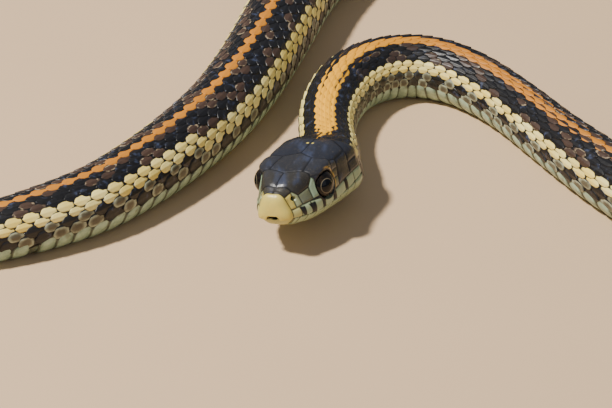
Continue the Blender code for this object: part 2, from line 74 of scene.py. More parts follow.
# mm back from the snout: lip half width, brow half width, brow height, crown height, jaw depth
headRows = (
    (1.3, 2.25, 1.30, 2.60, 3.00, 1.15), (2.5, 3.05, 1.85, 3.25, 3.75, 1.55),
    (4.4, 3.95, 2.60, 3.90, 4.25, 1.95), (6.8, 4.50, 3.90, 4.25, 4.60, 2.20),
    (8.6, 4.75, 4.05, 4.35, 4.75, 2.35), (10.5, 4.95, 4.20, 4.35, 4.90, 2.50),
    (13, 5.20, 4.40, 4.20, 5.05, 2.60), (15.2, 5.40, 4.45, 4.10, 5.00, 2.65),
    (17.2, 5.20, 4.05, 3.85, 4.75, 2.60), (19.5, 4.30, 3.30, 3.50, 4.35, 2.50),
)
head = {
    "centre": 1.0 * mm, "snoutRound": 1.3 * mm, "snoutBlunt": 2.4, "jawSetBack": 0.35 * mm,
    "napeFrom": 15.5 * mm, "mouthCorner": 15.2,
    "mouthLine": ((-2, -0.35), (0, -0.35), (2, -0.45), (4.5, -0.60), (8, -0.55),
                  (12.5, -0.10), (15.2, 0.50), (20, 1.6)),
    "eyeAt": (7.0 * mm, 3.55 * mm, 2.10 * mm),
    "nostrilAt": (1.95 * mm, 2.25 * mm, 1.95 * mm), "sections": (1.3, 19.61, 0.1),
}


def smoothTable(rows, column=1):  # follows a column without overshooting it
    table = np.array(rows, dtype=float)
    x, y = table[:, 0], table[:, column]
    step = np.diff(x)
    rise = np.diff(y) / step
    slope = np.zeros(len(x))
    slope[0], slope[-1] = rise[0], rise[-1]
    for i in range(1, len(x) - 1):
        if rise[i - 1] * rise[i] > 0:
            before, after = 2 * step[i] + step[i - 1], step[i] + 2 * step[i - 1]
            slope[i] = (before + after) / (before / rise[i - 1] + after / rise[i])

    def value(at):
        at = np.clip(at, x[0], x[-1])
        i = np.clip(np.searchsorted(x, at) - 1, 0, len(x) - 2)
        t = (at - x[i]) / step[i]
        return (y[i] * (1 + 2 * t) * (1 - t) ** 2 + slope[i] * step[i] * t * (1 - t) ** 2
                + y[i + 1] * t * t * (3 - 2 * t) + slope[i + 1] * step[i] * t * t * (t - 1))

    return value


def ease(low, high, at):
    t = np.clip((at - low) / (high - low), 0.0, 1.0)
    return t * t * (3 - 2 * t)


def throughPoints(points, perSpan=24):  # smooth plane curve through the points
    padded = np.vstack((2 * points[0] - points[1], points, 2 * points[-1] - points[-2]))
    knots = np.concatenate(([0.0], np.cumsum(np.linalg.norm(np.diff(padded, axis=0), axis=1) ** 0.5)))
    out = []
    for i in range(1, len(padded) - 2):
        t0, t1, t2, t3 = knots[i - 1:i + 3]
        p0, p1, p2, p3 = padded[i - 1:i + 3]
        t = np.linspace(t1, t2, perSpan, endpoint=False)[:, None]
        a1 = ((t1 - t) * p0 + (t - t0) * p1) / (t1 - t0)
        a2 = ((t2 - t) * p1 + (t - t1) * p2) / (t2 - t1)
        a3 = ((t3 - t) * p2 + (t - t2) * p3) / (t3 - t2)
        b1 = ((t2 - t) * a1 + (t - t0) * a2) / (t2 - t0)
        b2 = ((t3 - t) * a2 + (t - t1) * a3) / (t3 - t1)
        out.append(((t2 - t) * b1 + (t - t1) * b2) / (t2 - t1))
    out.append(points[-1:])
    return np.vstack(out)


def headFrame():
    yaw, rise, roll = body["headYaw"], body["headRise"], body["headRoll"]
    forward = np.array((-math.sin(yaw) * math.cos(rise), -math.cos(yaw) * math.cos(rise), math.sin(rise)))
    level = np.array((math.cos(yaw), -math.sin(yaw), 0.0))
    left = level * math.cos(roll) + np.cross(forward, level) * math.sin(roll)
    snout = np.array((*body["snoutPlace"], body["mouthHeight"]))
    return snout, -forward, left, np.cross(forward, left)


snoutPoint, headBack, headLeft, headUp = headFrame()
lineStart = snoutPoint - headUp * body["throatDepth"]
widthAt = smoothTable(widthRows)
leanAt = smoothTable(leanRows, 2)
mouthAt = smoothTable(head["mouthLine"])
headAt = [smoothTable(headRows, column) for column in range(1, 6)]


def makeBellyLine():
    base = lineStart + headBack * body["skullLength"]
    before = base - headBack * 6 * mm
    flat = [np.array(body["snoutPlace"]) + np.array(point) * mm for point in route]
    fine = throughPoints(np.array([before[:2], base[:2], *flat]))
    run = np.concatenate(([0.0], np.cumsum(np.linalg.norm(np.diff(fine, axis=0), axis=1))))
    first = int(np.argmin(np.linalg.norm(fine - base[:2], axis=1)))
    run = run[first:] - run[first] + body["skullLength"]
    return run, np.column_stack((fine[first:], smoothTable(leanRows, 1)(run / mm) * mm))


lineRun, linePoints = makeBellyLine()


def placeOnLine(s):
    straight = lineStart + s[..., None] * headBack
    curved = np.stack([np.interp(s, lineRun, linePoints[:, k]) for k in range(3)], axis=-1)
    return np.where((s <= body["skullLength"])[..., None], straight, curved)


def unit(v):
    return v / np.linalg.norm(v, axis=-1, keepdims=True)


def framesAt(s):  # belly point, left and up at distances from the snout
    along = unit(placeOnLine(s + mm) - placeOnLine(s - mm))
    up = np.zeros_like(along)
    up[..., 2] = 1.0
    up = unit(up - along * along[..., 2:])
    left = np.cross(along, up)
    lean = np.radians(leanAt(s / mm))[..., None]
    leaned = left * np.cos(lean) + up * np.sin(lean)
    raised = up * np.cos(lean) - left * np.sin(lean)
    skull = (s <= body["skullLength"])[..., None]
    return placeOnLine(s), np.where(skull, headLeft, leaned), np.where(skull, headUp, raised)


def bodyRadius(s, angles):
    width = widthAt(s / mm) * mm
    height = width * body["heightToWidth"]
    centre = height * body["centreHeight"]
    sine, cosine = np.sin(angles), np.cos(angles)
    reach = np.where(cosine > 0, height - centre, centre * body["bellyDepth"])
    power = body["squareness"]
    radius = (np.abs(sine / (width / 2)) ** power + np.abs(cosine / reach) ** power) ** (-1 / power)
    floor = np.where(cosine < 0, centre / np.maximum(-cosine, 1e-6), np.inf)
    return np.minimum(radius, floor), centre


def makeHeadTable():  # radii of the head's sections at every degree
    turns = np.radians(np.arange(0, 361))
    table = []
    for back in np.arange(*head["sections"]):
        lip, brow, browHeight, crown, jaw = (float(column(back)) * mm for column in headAt)
        side = 0.5 * (lip + brow) + 0.05 * mm
        outline = np.array((
            (0.0, crown), (0.6 * brow, crown - 0.12 * (crown - browHeight)), (brow, browHeight),
            (side, 0.55 * browHeight), (lip, 0.25 * mm), (lip - 0.04 * mm, -0.35 * mm),
            (0.87 * lip, -0.50 * jaw), (0.67 * lip, -0.82 * jaw), (0.40 * lip, -jaw),
            (0.0, -jaw - 0.02 * mm),
        ))
        loop = throughPoints(np.vstack((outline, outline[1:-1][::-1] * (-1, 1), outline[:1])), 8)
        polar = np.arctan2(loop[:, 0], loop[:, 1] - head["centre"])
        reach = np.hypot(loop[:, 0], loop[:, 1] - head["centre"])
        order = np.argsort(polar)
        table.append(np.interp(turns, polar[order], reach[order], period=2 * math.pi))
    return np.array(table)


headTable = makeHeadTable()


def headRadius(a, angles, setBack=0.0):
    first, _, apart = head["sections"]
    row = (np.maximum(a, head["snoutRound"]) / mm - first) / apart
    row = np.clip(row, 0, len(headTable) - 1.001)
    column = np.degrees(angles) % 360.0
    i, j = row.astype(int), np.minimum(column.astype(int), 359)
    u, v = row - i, column - j
    radius = ((headTable[i, j] * (1 - v) + headTable[i, j + 1] * v) * (1 - u)
              + (headTable[i + 1, j] * (1 - v) + headTable[i + 1, j + 1] * v) * u)
    depth = np.clip(1 - (a - setBack) / head["snoutRound"], 0.0, 1.0)
    return radius * (1 - depth ** head["snoutBlunt"]) ** (1 / head["snoutBlunt"])


def sectionAt(s, angles, setBack=0.0):
    s, angles, setBack = np.broadcast_arrays(s, angles, setBack)
    behind, behindCentre = bodyRadius(np.maximum(s, body["headLength"]), angles)
    share = ease(head["napeFrom"], body["headLength"], s)
    radius = headRadius(s, angles, setBack) * (1 - share) + behind * share
    centre = (body["throatDepth"] + head["centre"]) * (1 - share) + behindCentre * share
    return radius, centre


def surfaceAt(s, angles, out=0.0, setBack=0.0):  # points of the snake, moved outwards by an amount
    s, angles, out, setBack = np.broadcast_arrays(s, angles, out, setBack)
    base, left, up = framesAt(s)
    radius, centre = sectionAt(s, angles, setBack)
    radius = radius + out
    return (base + left * (radius * np.sin(angles))[..., None]
            + up * (centre + radius * np.cos(angles))[..., None])


def lieAt(s, angles, pitch):  # outward and rearward ways of a scale, and how the bend stretches it
    back = surfaceAt(s + pitch, angles) - surfaceAt(s - 0.2 * pitch, angles)
    side = surfaceAt(s + 0.4 * pitch, angles + 0.05) - surfaceAt(s + 0.4 * pitch, angles - 0.05)
    stretch = np.linalg.norm(back, axis=-1) / (1.2 * pitch)
    return unit(np.cross(side, back)), unit(back), np.clip(stretch, 0.6, 1.4)


print("form ready, run", round(float(lineRun[-1]) * 1000, 1), "mm")

# The markings, one rule for skin and coat. Each pair of a table is mm back from the snout and a value
marks = {
    "stripeHalf": ((14.8, 0), (16, 0.25), (17.5, 0.6), (19, 1.05), (21, 1.4), (28, 1.35), (38, 1.05),
                   (50, 0.92), (65, 0.8), (78, 0.66), (90, 0.54), (130, 0.5), (330, 0.5), (398, 0.45),
                   (470, 0.3), (515, 0.1)),  # half width of the orange stripe, mm
    "bellyEdge": ((14, 103), (19.5, 102), (44, 102), (60, 104), (90, 110), (200, 110), (330, 110),
                  (398, 106), (515, 98)),  # upper edge of the belly plates, degrees from mid back
    # share of the rows from mid back, and the share of the belly edge's angle it lies at
    "rowTurns": ((0, 0), (0.3, 0.248), (0.5, 0.428), (0.632, 0.562), (0.737, 0.66), (0.842, 0.775),
                 (0.947, 0.92), (1, 1), (1.1, 1.16), (1.9, 2.4)),
    "gather": ((14, 1), (50, 1), (80, 0.92), (110, 0.9), (200, 0.9), (335, 0.92), (398, 0.95),
               (515, 1)),  # under 1 brings the rows nearer to the belly
    "rows": ((14, 19), (325, 19), (345, 17), (398, 15), (430, 11), (470, 8), (515, 5)),
    # length of a plate and of a row of scales, mm, in front of 70 mm and, for both, behind it
    "plate": ((14, 1.75), (45, 2.1)), "row": ((13, 1.15), (20, 1.5), (30, 1.85), (45, 2.2)),
    "both": ((70, 2.5), (90, 2.8), (180, 2.8), (280, 2.65), (350, 2.35), (398, 2.15), (430, 1.9),
             (470, 1.6), (515, 1.2)),
    "leastRows": 15, "bellyShare": 1.02, "darkNeck": (26, 60), "spotSkip": 0.07, "extraDark": 0.25,
    "firstPlate": 17.4 * mm, "firstRow": 13 * mm, "atTail": 1.5 * mm,
}
stripeHalfAt, bellyEdgeAt, gatherAt, turnOfShare, rowsAt = (
    smoothTable(marks[name]) for name in ("stripeHalf", "bellyEdge", "gather", "rowTurns", "rows"))


def stepsAlong(start, table):  # places one step after the other down to the tail tip
    stepAt = smoothTable(table + marks["both"])
    edges = [start]
    while edges[-1] < body["tailTipAt"] - marks["atTail"]:
        edges.append(edges[-1] + float(stepAt(edges[-1] / mm)) * mm)
    return np.array(edges)


plateEdges = stepsAlong(marks["firstPlate"], marks["plate"])
rowEdges = stepsAlong(marks["firstRow"], marks["row"])
shareGrid = np.linspace(0, marks["rowTurns"][-1][0], 400)
turnGrid = turnOfShare(shareGrid)


def shareToTurn(share, s):  # 0 mid back to 1 at the belly plates, as an angle
    along = turnOfShare(np.abs(share)) ** gatherAt(s / mm)
    return np.sign(share) * np.radians(bellyEdgeAt(s / mm)) * along


def turnToShare(turn, s):
    along = (np.abs(turn) / np.radians(bellyEdgeAt(s / mm))) ** (1 / gatherAt(s / mm))
    return np.interp(along, turnGrid, shareGrid)


def markings(s, share, place, chance):  # (cream, black, brown) and (moss, belly) at places on the snake
    below = (1 - share) * np.maximum(rowsAt(s / mm), marks["leastRows"]) / 2  # rows up from the plates
    near = 1 - ease(*marks["darkNeck"], s / mm)
    belly, band = share >= marks["bellyShare"], below >= 4
    low = (below <= 2) & ~belly
    spot = (np.mod(place + np.where(below < 1, 0, 1), 2) < 1) & (chance > marks["spotSkip"])
    checks = np.mod(np.floor((place + 0.5) / 2) + np.floor(below / 2), 2) < 1
    black = np.where(band & (checks | (chance < marks["extraDark"])), 1.0, 0.0)
    black = np.where(band, np.maximum(black, near), np.where(low & spot, 1 - 0.5 * near, black))
    return np.stack(((below > 2) & (below < 4), black, band), -1), np.stack((low, belly, low * 0), -1)


# Nodes
class Mask:  # an output in a node tree that takes plain arithmetic
    def __init__(self, socket):
        self.socket, self.tree = socket, socket.id_data

    def __add__(self, other):
        return calc("ADD", self, other)

    def __sub__(self, other):
        return calc("SUBTRACT", self, other)

    def __rsub__(self, other):
        return calc("SUBTRACT", other, self)

    def __mul__(self, other):
        return calc("MULTIPLY", self, other)

    def __truediv__(self, other):
        return calc("DIVIDE", self, other)

    def __pow__(self, power):
        return calc("POWER", self, power)

    def __abs__(self):
        return calc("ABSOLUTE", self)

    def rise(self, low, high):  # 0 below low, 1 above high
        return value(self.tree, "ShaderNodeMapRange", self, low, high, 0.0, 1.0,
                     interpolation_type="SMOOTHSTEP")

    def fall(self, low, high):
        return 1.0 - self.rise(low, high)

    __radd__, __rmul__ = __add__, __mul__


def feed(socket, given):  # links a Mask, finds a colour by its name or sets a plain value
    if isinstance(given, Mask):
        given.tree.links.new(given.socket, socket)
    elif given is not None:
        socket.default_value = (*colours.get(given, given), 1.0) if socket.type == "RGBA" else given


def addNode(tree, kind, *values, **settings):  # values fill the sockets in order, settings by name
    node = tree.nodes.new(kind)
    for name, given in settings.items():
        if name in node.inputs:
            feed(node.inputs[name], given)
        else:
            setattr(node, name, given)
    for socket, given in zip(node.inputs, values):
        feed(socket, given)
    return node


def value(tree, kind, *values, output=0, **settings):
    return Mask(addNode(tree, kind, *values, **settings).outputs[output])


def treeOf(*values):
    return next(given.tree for given in values if isinstance(given, Mask))


def calc(operation, *values):
    return value(treeOf(*values), "ShaderNodeMath", *values, operation=operation)


def most(first, *others):
    for other in others:
        first = calc("MAXIMUM", first, other)
    return first


def blend(factor, first, second, mode="MIX"):
    return value(treeOf(factor, first, second), "ShaderNodeMix", factor, *[None] * 5, first, second,
                 output=2, data_type="RGBA", blend_type=mode)


def field(tree, name, output="Vector"):
    return value(tree, "ShaderNodeAttribute", output=output, attribute_name=name)


def split(vector):
    return [Mask(socket) for socket in addNode(vector.tree, "ShaderNodeSeparateXYZ", vector).outputs]


def noise(tree, scale, detail, stretch=None):
    place = value(tree, "ShaderNodeTexCoord", output="Object")
    if stretch:
        place = value(tree, "ShaderNodeMapping", Vector=place, Scale=stretch)
    return value(tree, "ShaderNodeTexNoise", Vector=place, Scale=scale, Detail=detail)


def addSockets(tree, inputs, outputs):  # a group's named sockets, and its inputs as Masks
    for way, kinds in (("INPUT", inputs), ("OUTPUT", outputs)):
        for name, kind in kinds.items():
            tree.interface.new_socket(name, in_out=way, socket_type="NodeSocket" + kind)
    return {socket.name: Mask(socket) for socket in tree.nodes.new("NodeGroupInput").outputs}


def linear(red, green, blue):  # from 0-255 screen values
    return tuple(((c / 255 + 0.055) / 1.055) ** 2.4 if c > 10 else c / 3294.6 for c in (red, green, blue))


colours = {
    "orange": (205, 130, 28), "orangeBright": (255, 182, 14), "cream": (248, 220, 112),
    "creamPale": (255, 240, 158), "black": (17, 16, 18), "brown": (84, 62, 48), "brownDark": (44, 33, 28),
    "tan": (196, 176, 140), "moss": (106, 100, 78), "mossDark": (66, 60, 46), "mossPale": (190, 196, 164),
    "belly": (126, 150, 126), "bellyPale": (172, 194, 164), "crown": (35, 37, 46),
    # the sheen colour is a painted highlight, the bluish glint of lit glossy scales
    "crownWarm": (60, 57, 50), "sheen": (68, 78, 106), "lip": (158, 182, 150),
    # the seam colour is the near black of painted shade in the seams and gaps
    "snoutCream": (226, 202, 92), "seam": (12, 12, 13), "iris": (14, 12, 12), "irisPale": (42, 32, 22),
    "eyeRing": (108, 100, 82), "pupil": (6, 8, 14), "floor": (216, 184, 146),
}
colours = {name: linear(*screen) for name, screen in colours.items()}


def makeMarkingsGroup():
    group = bpy.data.node_groups.new("snakeMarkings", "ShaderNodeTree")
    given = addSockets(group, {
        "Marks": "Vector", "Ground": "Vector", "Stripe": "Vector", "Chance": "Float", "Along": "Float",
        "Oval": "Float"}, {"Colour": "Color", "Pale": "Float"})
    cream, black, brown = split(given["Marks"])
    moss, belly, _ = split(given["Ground"])
    fromMid, half, _ = split(given["Stripe"])
    chance, oval = given["Chance"], given["Oval"]
    mottle, broad = noise(group, 1100.0, 4.0), noise(group, 160.0, 2.0)
    inner = oval.fall(0.86, 1.06)
    # dark band: brown middles, now and then a pale fleck at the rim
    colour = blend(brown * inner, "black", blend(mottle, "brown", "brownDark"))
    fleck = inner * oval.rise(0.60, 0.84) * brown * mottle.rise(0.5, 0.62) * chance.rise(0.45, 0.6)
    colour = blend(fleck * 0.6, colour, "tan")
    # lower rows: grey-brown with a pale rim
    paler = inner * oval.rise(0.35, 0.95) * mottle.rise(0.25, 0.6)
    mossy = blend(paler * 0.85, blend(mottle, "moss", "mossDark"), "mossPale")
    colour = blend(moss * inner, colour, mossy)
    # painted highlight: some black scales take the bluish sheen colour
    colour = blend(black, colour, blend(mottle.rise(0.55, 0.8), "black", "sheen"))
    colour = blend(belly, colour, blend(mottle.rise(0.35, 0.65), "belly", "bellyPale"))
    creamy = cream * inner
    colour = blend(creamy, colour, blend(broad.rise(0.3, 0.7), "cream", "creamPale"))
    # orange stripe: distance from mid back against the stripe's half width
    orange = (abs(fromMid) / most(half, 0.02) + (chance - 0.5) * 0.08).fall(0.93, 1.05)
    back = blend(given["Along"].rise(28.0, 56.0), "orangeBright", "orange")
    colour = blend(orange, colour, blend(mottle.rise(0.55, 0.8) * 0.25, back, "brown"))
    vary = chance * 0.18 + 0.91  # no two scales quite alike
    varied = blend(1.0, colour, value(group, "ShaderNodeCombineColor", vary, vary, vary), "MULTIPLY")
    addNode(group, "NodeGroupOutput", varied, most(orange, creamy, belly))
    return group


markingsGroup = makeMarkingsGroup()


def newLook(name):
    look = bpy.data.materials.new(name)
    look.use_nodes = True
    return look, look.node_tree


def setLook(look, colour, rough, bump=None, **plain):  # bump: height, strength and distance
    inputs = look.node_tree.nodes["Principled BSDF"].inputs
    for name, given in {"Base Color": colour, "Roughness": rough, **plain}.items():
        feed(inputs[name], given)
    if bump:
        height, strength, distance = bump
        feed(inputs["Normal"], value(look.node_tree, "ShaderNodeBump", Height=height, Strength=strength,
                                     Distance=distance))
    return look


def useMarkings(tree, **given):  # the group's colour, and how much of it is cream, orange or belly
    for name in ("Marks", "Ground", "Stripe", "Chance", "Along"):
        if name not in given:
            given[name] = field(tree, name.lower(), "Fac" if name in ("Chance", "Along") else "Vector")
    return map(Mask, addNode(tree, "ShaderNodeGroup", node_tree=markingsGroup, **given).outputs)


def makeScaleMaterial():
    look, tree = newLook("scaleCoat")
    lengthwise, across, _ = split(field(tree, "lie"))
    oval = (abs((lengthwise - 0.65) / 0.345) ** 3.0 + abs(across / 0.40) ** 3.0) ** 0.333
    oval = oval + (noise(tree, 2200.0, 3.0) - 0.5) * 0.28  # ragged edge of the pale middle
    arc, half, wide = split(field(tree, "stripe"))
    stripe = value(tree, "ShaderNodeCombineXYZ", arc + across * 0.6 * wide, half)
    colour, pale = useMarkings(tree, Oval=oval, Stripe=stripe)
    streak = noise(tree, 2600.0, 2.0, (1.0, 1.0, 0.35))
    # painted shade: darker at the scale's edges and on its skirt, where the scales overlap, less on pale
    # scales
    colour = blend(oval.rise(1.0, 1.35) * (0.5 - pale * 0.3), colour, "seam")
    colour = blend(streak * 0.12, colour, (0.0, 0.0, 0.0))
    return setLook(look, colour, 0.30 + streak * 0.24 + pale * 0.12, (streak, 0.25, 0.00006))


def makePlateMaterial():
    look, tree = newLook("bellyPlates")
    colour, _ = useMarkings(tree)
    lengthwise, across, _ = split(field(tree, "lie"))
    fromMid = abs(across)
    colour = blend(lengthwise.rise(0.2, 0.5) * lengthwise.fall(0.75, 1.0) * 0.5, colour, "bellyPale")
    specks = noise(tree, 700.0, 3.0).rise(0.60, 0.68) * fromMid.rise(0.62, 0.9)
    colour = blend(specks * 0.5, colour, "moss")
    # painted shade: dark bands at each plate's front under the plate before it, on its turned down rear
    # lip and at its ends
    edges = most(lengthwise.fall(0.14, 0.28), lengthwise.rise(1.02, 1.1), fromMid.rise(0.97, 1.0))
    fine = noise(tree, 1800.0, 3.0)
    return setLook(look, blend(edges * 0.8, colour, "mossDark"), 0.28 + fine * 0.2, (fine, 0.15, 0.00005))


def lipBars(back, turn):  # dark bars on the seams of the upper lip, widest at the top
    drop = turn - (98.0 + back * -1.1)
    taper = most(1.5 - drop * 0.042, 0.02)
    bars = [(abs(back - (at - drop * -0.014)) / (taper * width)).fall(0.8, 1.15)
            for at, width in lips["bars"]]
    return most(*bars) * drop.rise(-3.0, 0.5)


def makeSkinMaterial():
    look, tree = newLook("snakeSkin")
    colour, covered = useMarkings(tree)
    between = blend(0.8 - covered * 0.4, colour, "seam")  # bare skin between the scales, darkened as painted shade in the gaps, less under pale marks
    onHead, pale, aroundEye = split(field(tree, "shields"))
    seam, tone, warm = split(field(tree, "relief"))
    back, turn, upper = split(field(tree, "headPlace"))
    # painted shade: near black inside the mouth's slit, the nostril and the socket under the eye
    deep = field(tree, "deep", "Fac").rise(0.0, 0.6)
    mottle, pits = noise(tree, 1300.0, 5.0), noise(tree, 3400.0, 3.0)
    streaks = noise(tree, 650.0, 6.0, (1.0, 0.28, 1.0))
    # painted highlight: streaks of the bluish sheen colour over the crown
    crown = blend(streaks.rise(0.5, 0.72) * 0.6, blend(warm, "crown", "crownWarm"), "sheen")
    crown = blend(pits.rise(0.55, 0.8) * 0.10, crown, "tan")
    crown = blend(tone * 0.3, crown, "black")
    colour = blend(pale, crown, blend(mottle * 0.35, blend(warm, "lip", "snoutCream"), "belly"))
    colour = blend(aroundEye, colour, blend(mottle, "orange", "snoutCream"))
    colour = blend(lipBars(back, turn) * upper, colour, "black")
    # painted shade: near black lines in the seams between the shields, along the mouth's edge and round
    # the eye
    colour = blend(seam.fall(0.03, 0.13) * 0.8, colour, "seam")
    colour = blend(field(tree, "spots", "Fac"), colour, "snoutCream")
    # off the head the skin with its painted shade in the gaps, then the recesses painted near black
    colour = blend(deep, blend(onHead, between, colour), (0.004, 0.003, 0.003))
    wrinkles = (pits * 0.5 + streaks * 0.8, 0.5, 0.00007)
    return setLook(look, colour, most(0.22 + pits * 0.26, deep), wrinkles)


def makeEyeMaterial():
    look, tree = newLook("snakeEye")
    gaze = field(tree, "gaze", "Fac")  # degrees from the middle of the pupil
    mottle = noise(tree, 1500.0, 4.0)
    ring = gaze.rise(29.0, 30.5) * gaze.fall(31.8, 35.0) * mottle.rise(0.3, 0.5)
    colour = blend(ring, blend(mottle.rise(0.42, 0.7), "iris", "irisPale"), "eyeRing")
    colour = blend(gaze.rise(58.0, 70.0), blend(gaze.fall(28.5, 30.0), colour, "pupil"), "iris")
    return setLook(look, colour, 0.12, **{"Specular IOR Level": 0.15, "Coat Weight": 0.25,
                                          "Coat Roughness": 0.02})


# Meshes from arrays
def addObject(name, data):
    made = bpy.data.objects.new(name, data)
    bpy.context.collection.objects.link(made)
    return made


def newMesh(name, vertices, faces, look=None):
    mesh = bpy.data.meshes.new(name)
    mesh.from_pydata(np.asarray(vertices).tolist(), [], faces)
    if look:
        mesh.materials.append(look)
    mesh.shade_smooth()
    return mesh


def putAttribute(mesh, name, values):
    values = np.asarray(values, dtype=np.float32)
    kind, slot = ("FLOAT_VECTOR", "vector") if values.ndim == 2 else ("FLOAT", "value")
    mesh.attributes.new(name, kind, "POINT").data.foreach_set(slot, values.ravel())


def getVectors(mesh, name):
    values = np.empty(len(mesh.vertices) * 3, dtype=np.float32)
    mesh.attributes[name].data.foreach_get("vector", values)
    return values.reshape(-1, 3)


def putMap(mesh, places):  # one (u, v) for each corner
    mesh.uv_layers.new(name="OFBake").data.foreach_set("uv", np.array(places, dtype=np.float32).ravel())


def faceOutward(mesh, merge=False):
    form = bmesh.new()
    form.from_mesh(mesh)
    if merge:
        bmesh.ops.remove_doubles(form, verts=form.verts, dist=0.4e-6)
        bmesh.ops.dissolve_degenerate(form, edges=form.edges, dist=0.2e-6)
    bmesh.ops.recalc_face_normals(form, faces=form.faces)
    form.to_mesh(mesh)
    form.free()


def ringQuads(first, rings, count):  # faces between closed rings of points
    for row in range(first, first + (rings - 1) * count, count):
        for j in range(count):
            k = (j + 1) % count
            yield row + j, row + count + j, row + count + k, row + k


def quadPlaces(place, rings, count):  # their corners on the bake map, from a rule for its places
    for i in range(rings - 1):
        for j in range(count):
            yield from (place(i, j), place(i, j, 1), place(i, j + 1, 1), place(i, j + 1))


# Bake map of the coat: the body folded into strips, a small patch for each scale
bakeMap = {"strips": 4, "patch": (0.0036, 0.0036), "platePatch": (0.0036, 0.035), "margin": 0.012,
           "from": 9 * mm}


def unwrapPlace(s, turn):
    strips, margin = bakeMap["strips"], bakeMap["margin"]
    t = (s - bakeMap["from"]) / (body["tailTipAt"] + mm - bakeMap["from"])
    t = np.clip(t, 0, 0.99999) * strips
    strip = np.floor(t)
    u = margin + (t - strip) * (1 - 2 * margin)
    return u, (strip + margin * 2 + (1 - margin * 4) * (turn / (2 * math.pi) + 0.5)) / strips


# Shields of the head: outline in mm back from the snout and degrees from mid crown, how pale and how
# warm, then the numbers of the borders that are no seams
shields = {
    "rostral": (((-0.1, 0), (0.84, 0), (0.98, 46), (1.26, 97), (1.24, 181), (-0.1, 181)), 1, 1, 0, 4, 5),
    "internasal": (((0.84, 0), (0.98, 46), (2.15, 47), (1.85, 0)), 0, 1),
    "prefrontal": (((1.85, 0), (2.15, 47), (2.68, 64), (4.35, 62), (5.08, 50), (5.12, 34), (4.4, 0)),
                   0, 0.8),
    "frontal": (((4.4, 0), (5.12, 34), (8.65, 27), (9.8, 0)), 0, 0.3, 3),
    "supraocular": (((5.12, 34), (5.08, 50), (5.9, 56), (8.2, 56), (9, 50), (8.65, 27)), 0, 0.2),
    "parietal": (((8.65, 27), (9, 50), (9.9, 53), (12.7, 52), (14.3, 27), (14.1, 0), (9.8, 0)), 0, 0),
    "foreNasal": (((0.98, 46), (1.26, 97), (1.95, 94), (1.98, 47)), 0.85, 1),
    "rearNasal": (((1.98, 47), (1.95, 94), (2.75, 90), (2.68, 64), (2.15, 47)), 0.75, 0.3),
    "loreal": (((2.68, 64), (2.75, 90), (4.35, 88), (4.35, 62)), 0.3, 0.3),
    "preocular": (((4.35, 62), (4.35, 88), (5.35, 87), (5.3, 56), (5.08, 50)), 0.85, 0),
    "highPostocular": (((8.55, 52), (9, 50), (9.9, 53), (10, 64), (8.7, 63)), 0, 0.6),
    "midPostocular": (((8.7, 63), (10, 64), (9.9, 76), (8.65, 75)), 0.08, 0.8),
    "lowPostocular": (((8.65, 75), (9.9, 76), (9.7, 89), (8.1, 92)), 0.35, 0.6),
    "foreTemporal": (((10, 54), (9.8, 88), (12.6, 85), (12.7, 53)), 0, 0.1),
    "highTemporal": (((12.7, 53), (12.65, 69), (15, 68), (14.9, 44), (14.3, 30)), 0, 0),
    "lowTemporal": (((12.65, 69), (12.6, 85), (15, 83), (15, 68)), 0, 0),
}
lips = {
    "upperEdges": (1.26, 2.4, 3.8, 5.7, 8, 11, 13.3, 15.2), "upperFoot": 130, "lowerTop": 95,
    "upperTops": ((1.2, 98), (2.6, 91), (4.6, 88.5), (7, 96), (9, 90.5), (13, 85), (15.5, 83)),
    "lowerEdges": (1.5, 2.3, 3.4, 4.8, 6.4, 8.2, 10, 11.8, 13.5, 15.4),
    "lowerFeet": ((1.3, 146), (3.5, 140), (7, 133), (11, 126), (15.4, 118)),
    "chin": ((((0, 100), (0, 180), (1.9, 180), (1.5, 95)), 1, 0.6, 0, 1),
             (((1.9, 180), (2.1, 160), (2.6, 147), (5.4, 150), (6, 180)), 1, 0.2),
             (((6, 180), (5.4, 150), (5.8, 142), (9.6, 148), (9.9, 168), (8, 180)), 1, 0.1)),
    "bars": ((2.5, 0.24), (3.9, 0.34), (5.75, 0.24), (8.1, 0.36), (11.1, 0.28)),
}
scaleLook, plateLook = makeScaleMaterial(), makePlateMaterial()
skinLook, eyeLook = makeSkinMaterial(), makeEyeMaterial()
print("materials ready")


def everyShield():
    yield from (("upper", *entry) for entry in shields.values())
    top, foot = smoothTable(lips["upperTops"]), smoothTable(lips["lowerFeet"])
    low, high = lips["upperFoot"], lips["lowerTop"]
    for front, back in zip(lips["upperEdges"], lips["upperEdges"][1:]):
        outline = ((front, float(top(front))), (back, float(top(back))), (back, low), (front, low))
        yield "upper", outline, 1, 0.15 if back > 3 else 0.6, 2
    for front, back in zip(lips["lowerEdges"], lips["lowerEdges"][1:]):
        outline = ((front, high), (back, high), (back, float(foot(back))), (front, float(foot(front))))
        yield "lower", outline, 1, 0.2, 0
    yield from (("lower", *entry) for entry in lips["chin"])


def nearestSeam(a, degrees, radius, outline, bare):
    # distance to an outline's seams and whether a place lies inside it, a and radius in mm
    perDegree = radius * math.pi / 180
    inside, nearest = np.zeros(len(a), dtype=bool), np.full(len(a), 9.0)
    for k, ((a0, d0), (a1, d1)) in enumerate(zip(outline, outline[1:] + outline[:1])):
        slope = (a1 - a0) / (d1 - d0) if d1 != d0 else 0.0
        inside ^= ((d0 > degrees) != (d1 > degrees)) & (a < a0 + slope * (degrees - d0))
        if k not in bare:
            ax, ay = a1 - a0, (d1 - d0) * perDegree
            px, py = a - a0, (degrees - d0) * perDegree
            t = np.clip((px * ax + py * ay) / np.maximum(ax * ax + ay * ay, 1e-9), 0, 1)
            nearest = np.minimum(nearest, np.hypot(px - t * ax, py - t * ay))
    return nearest, inside


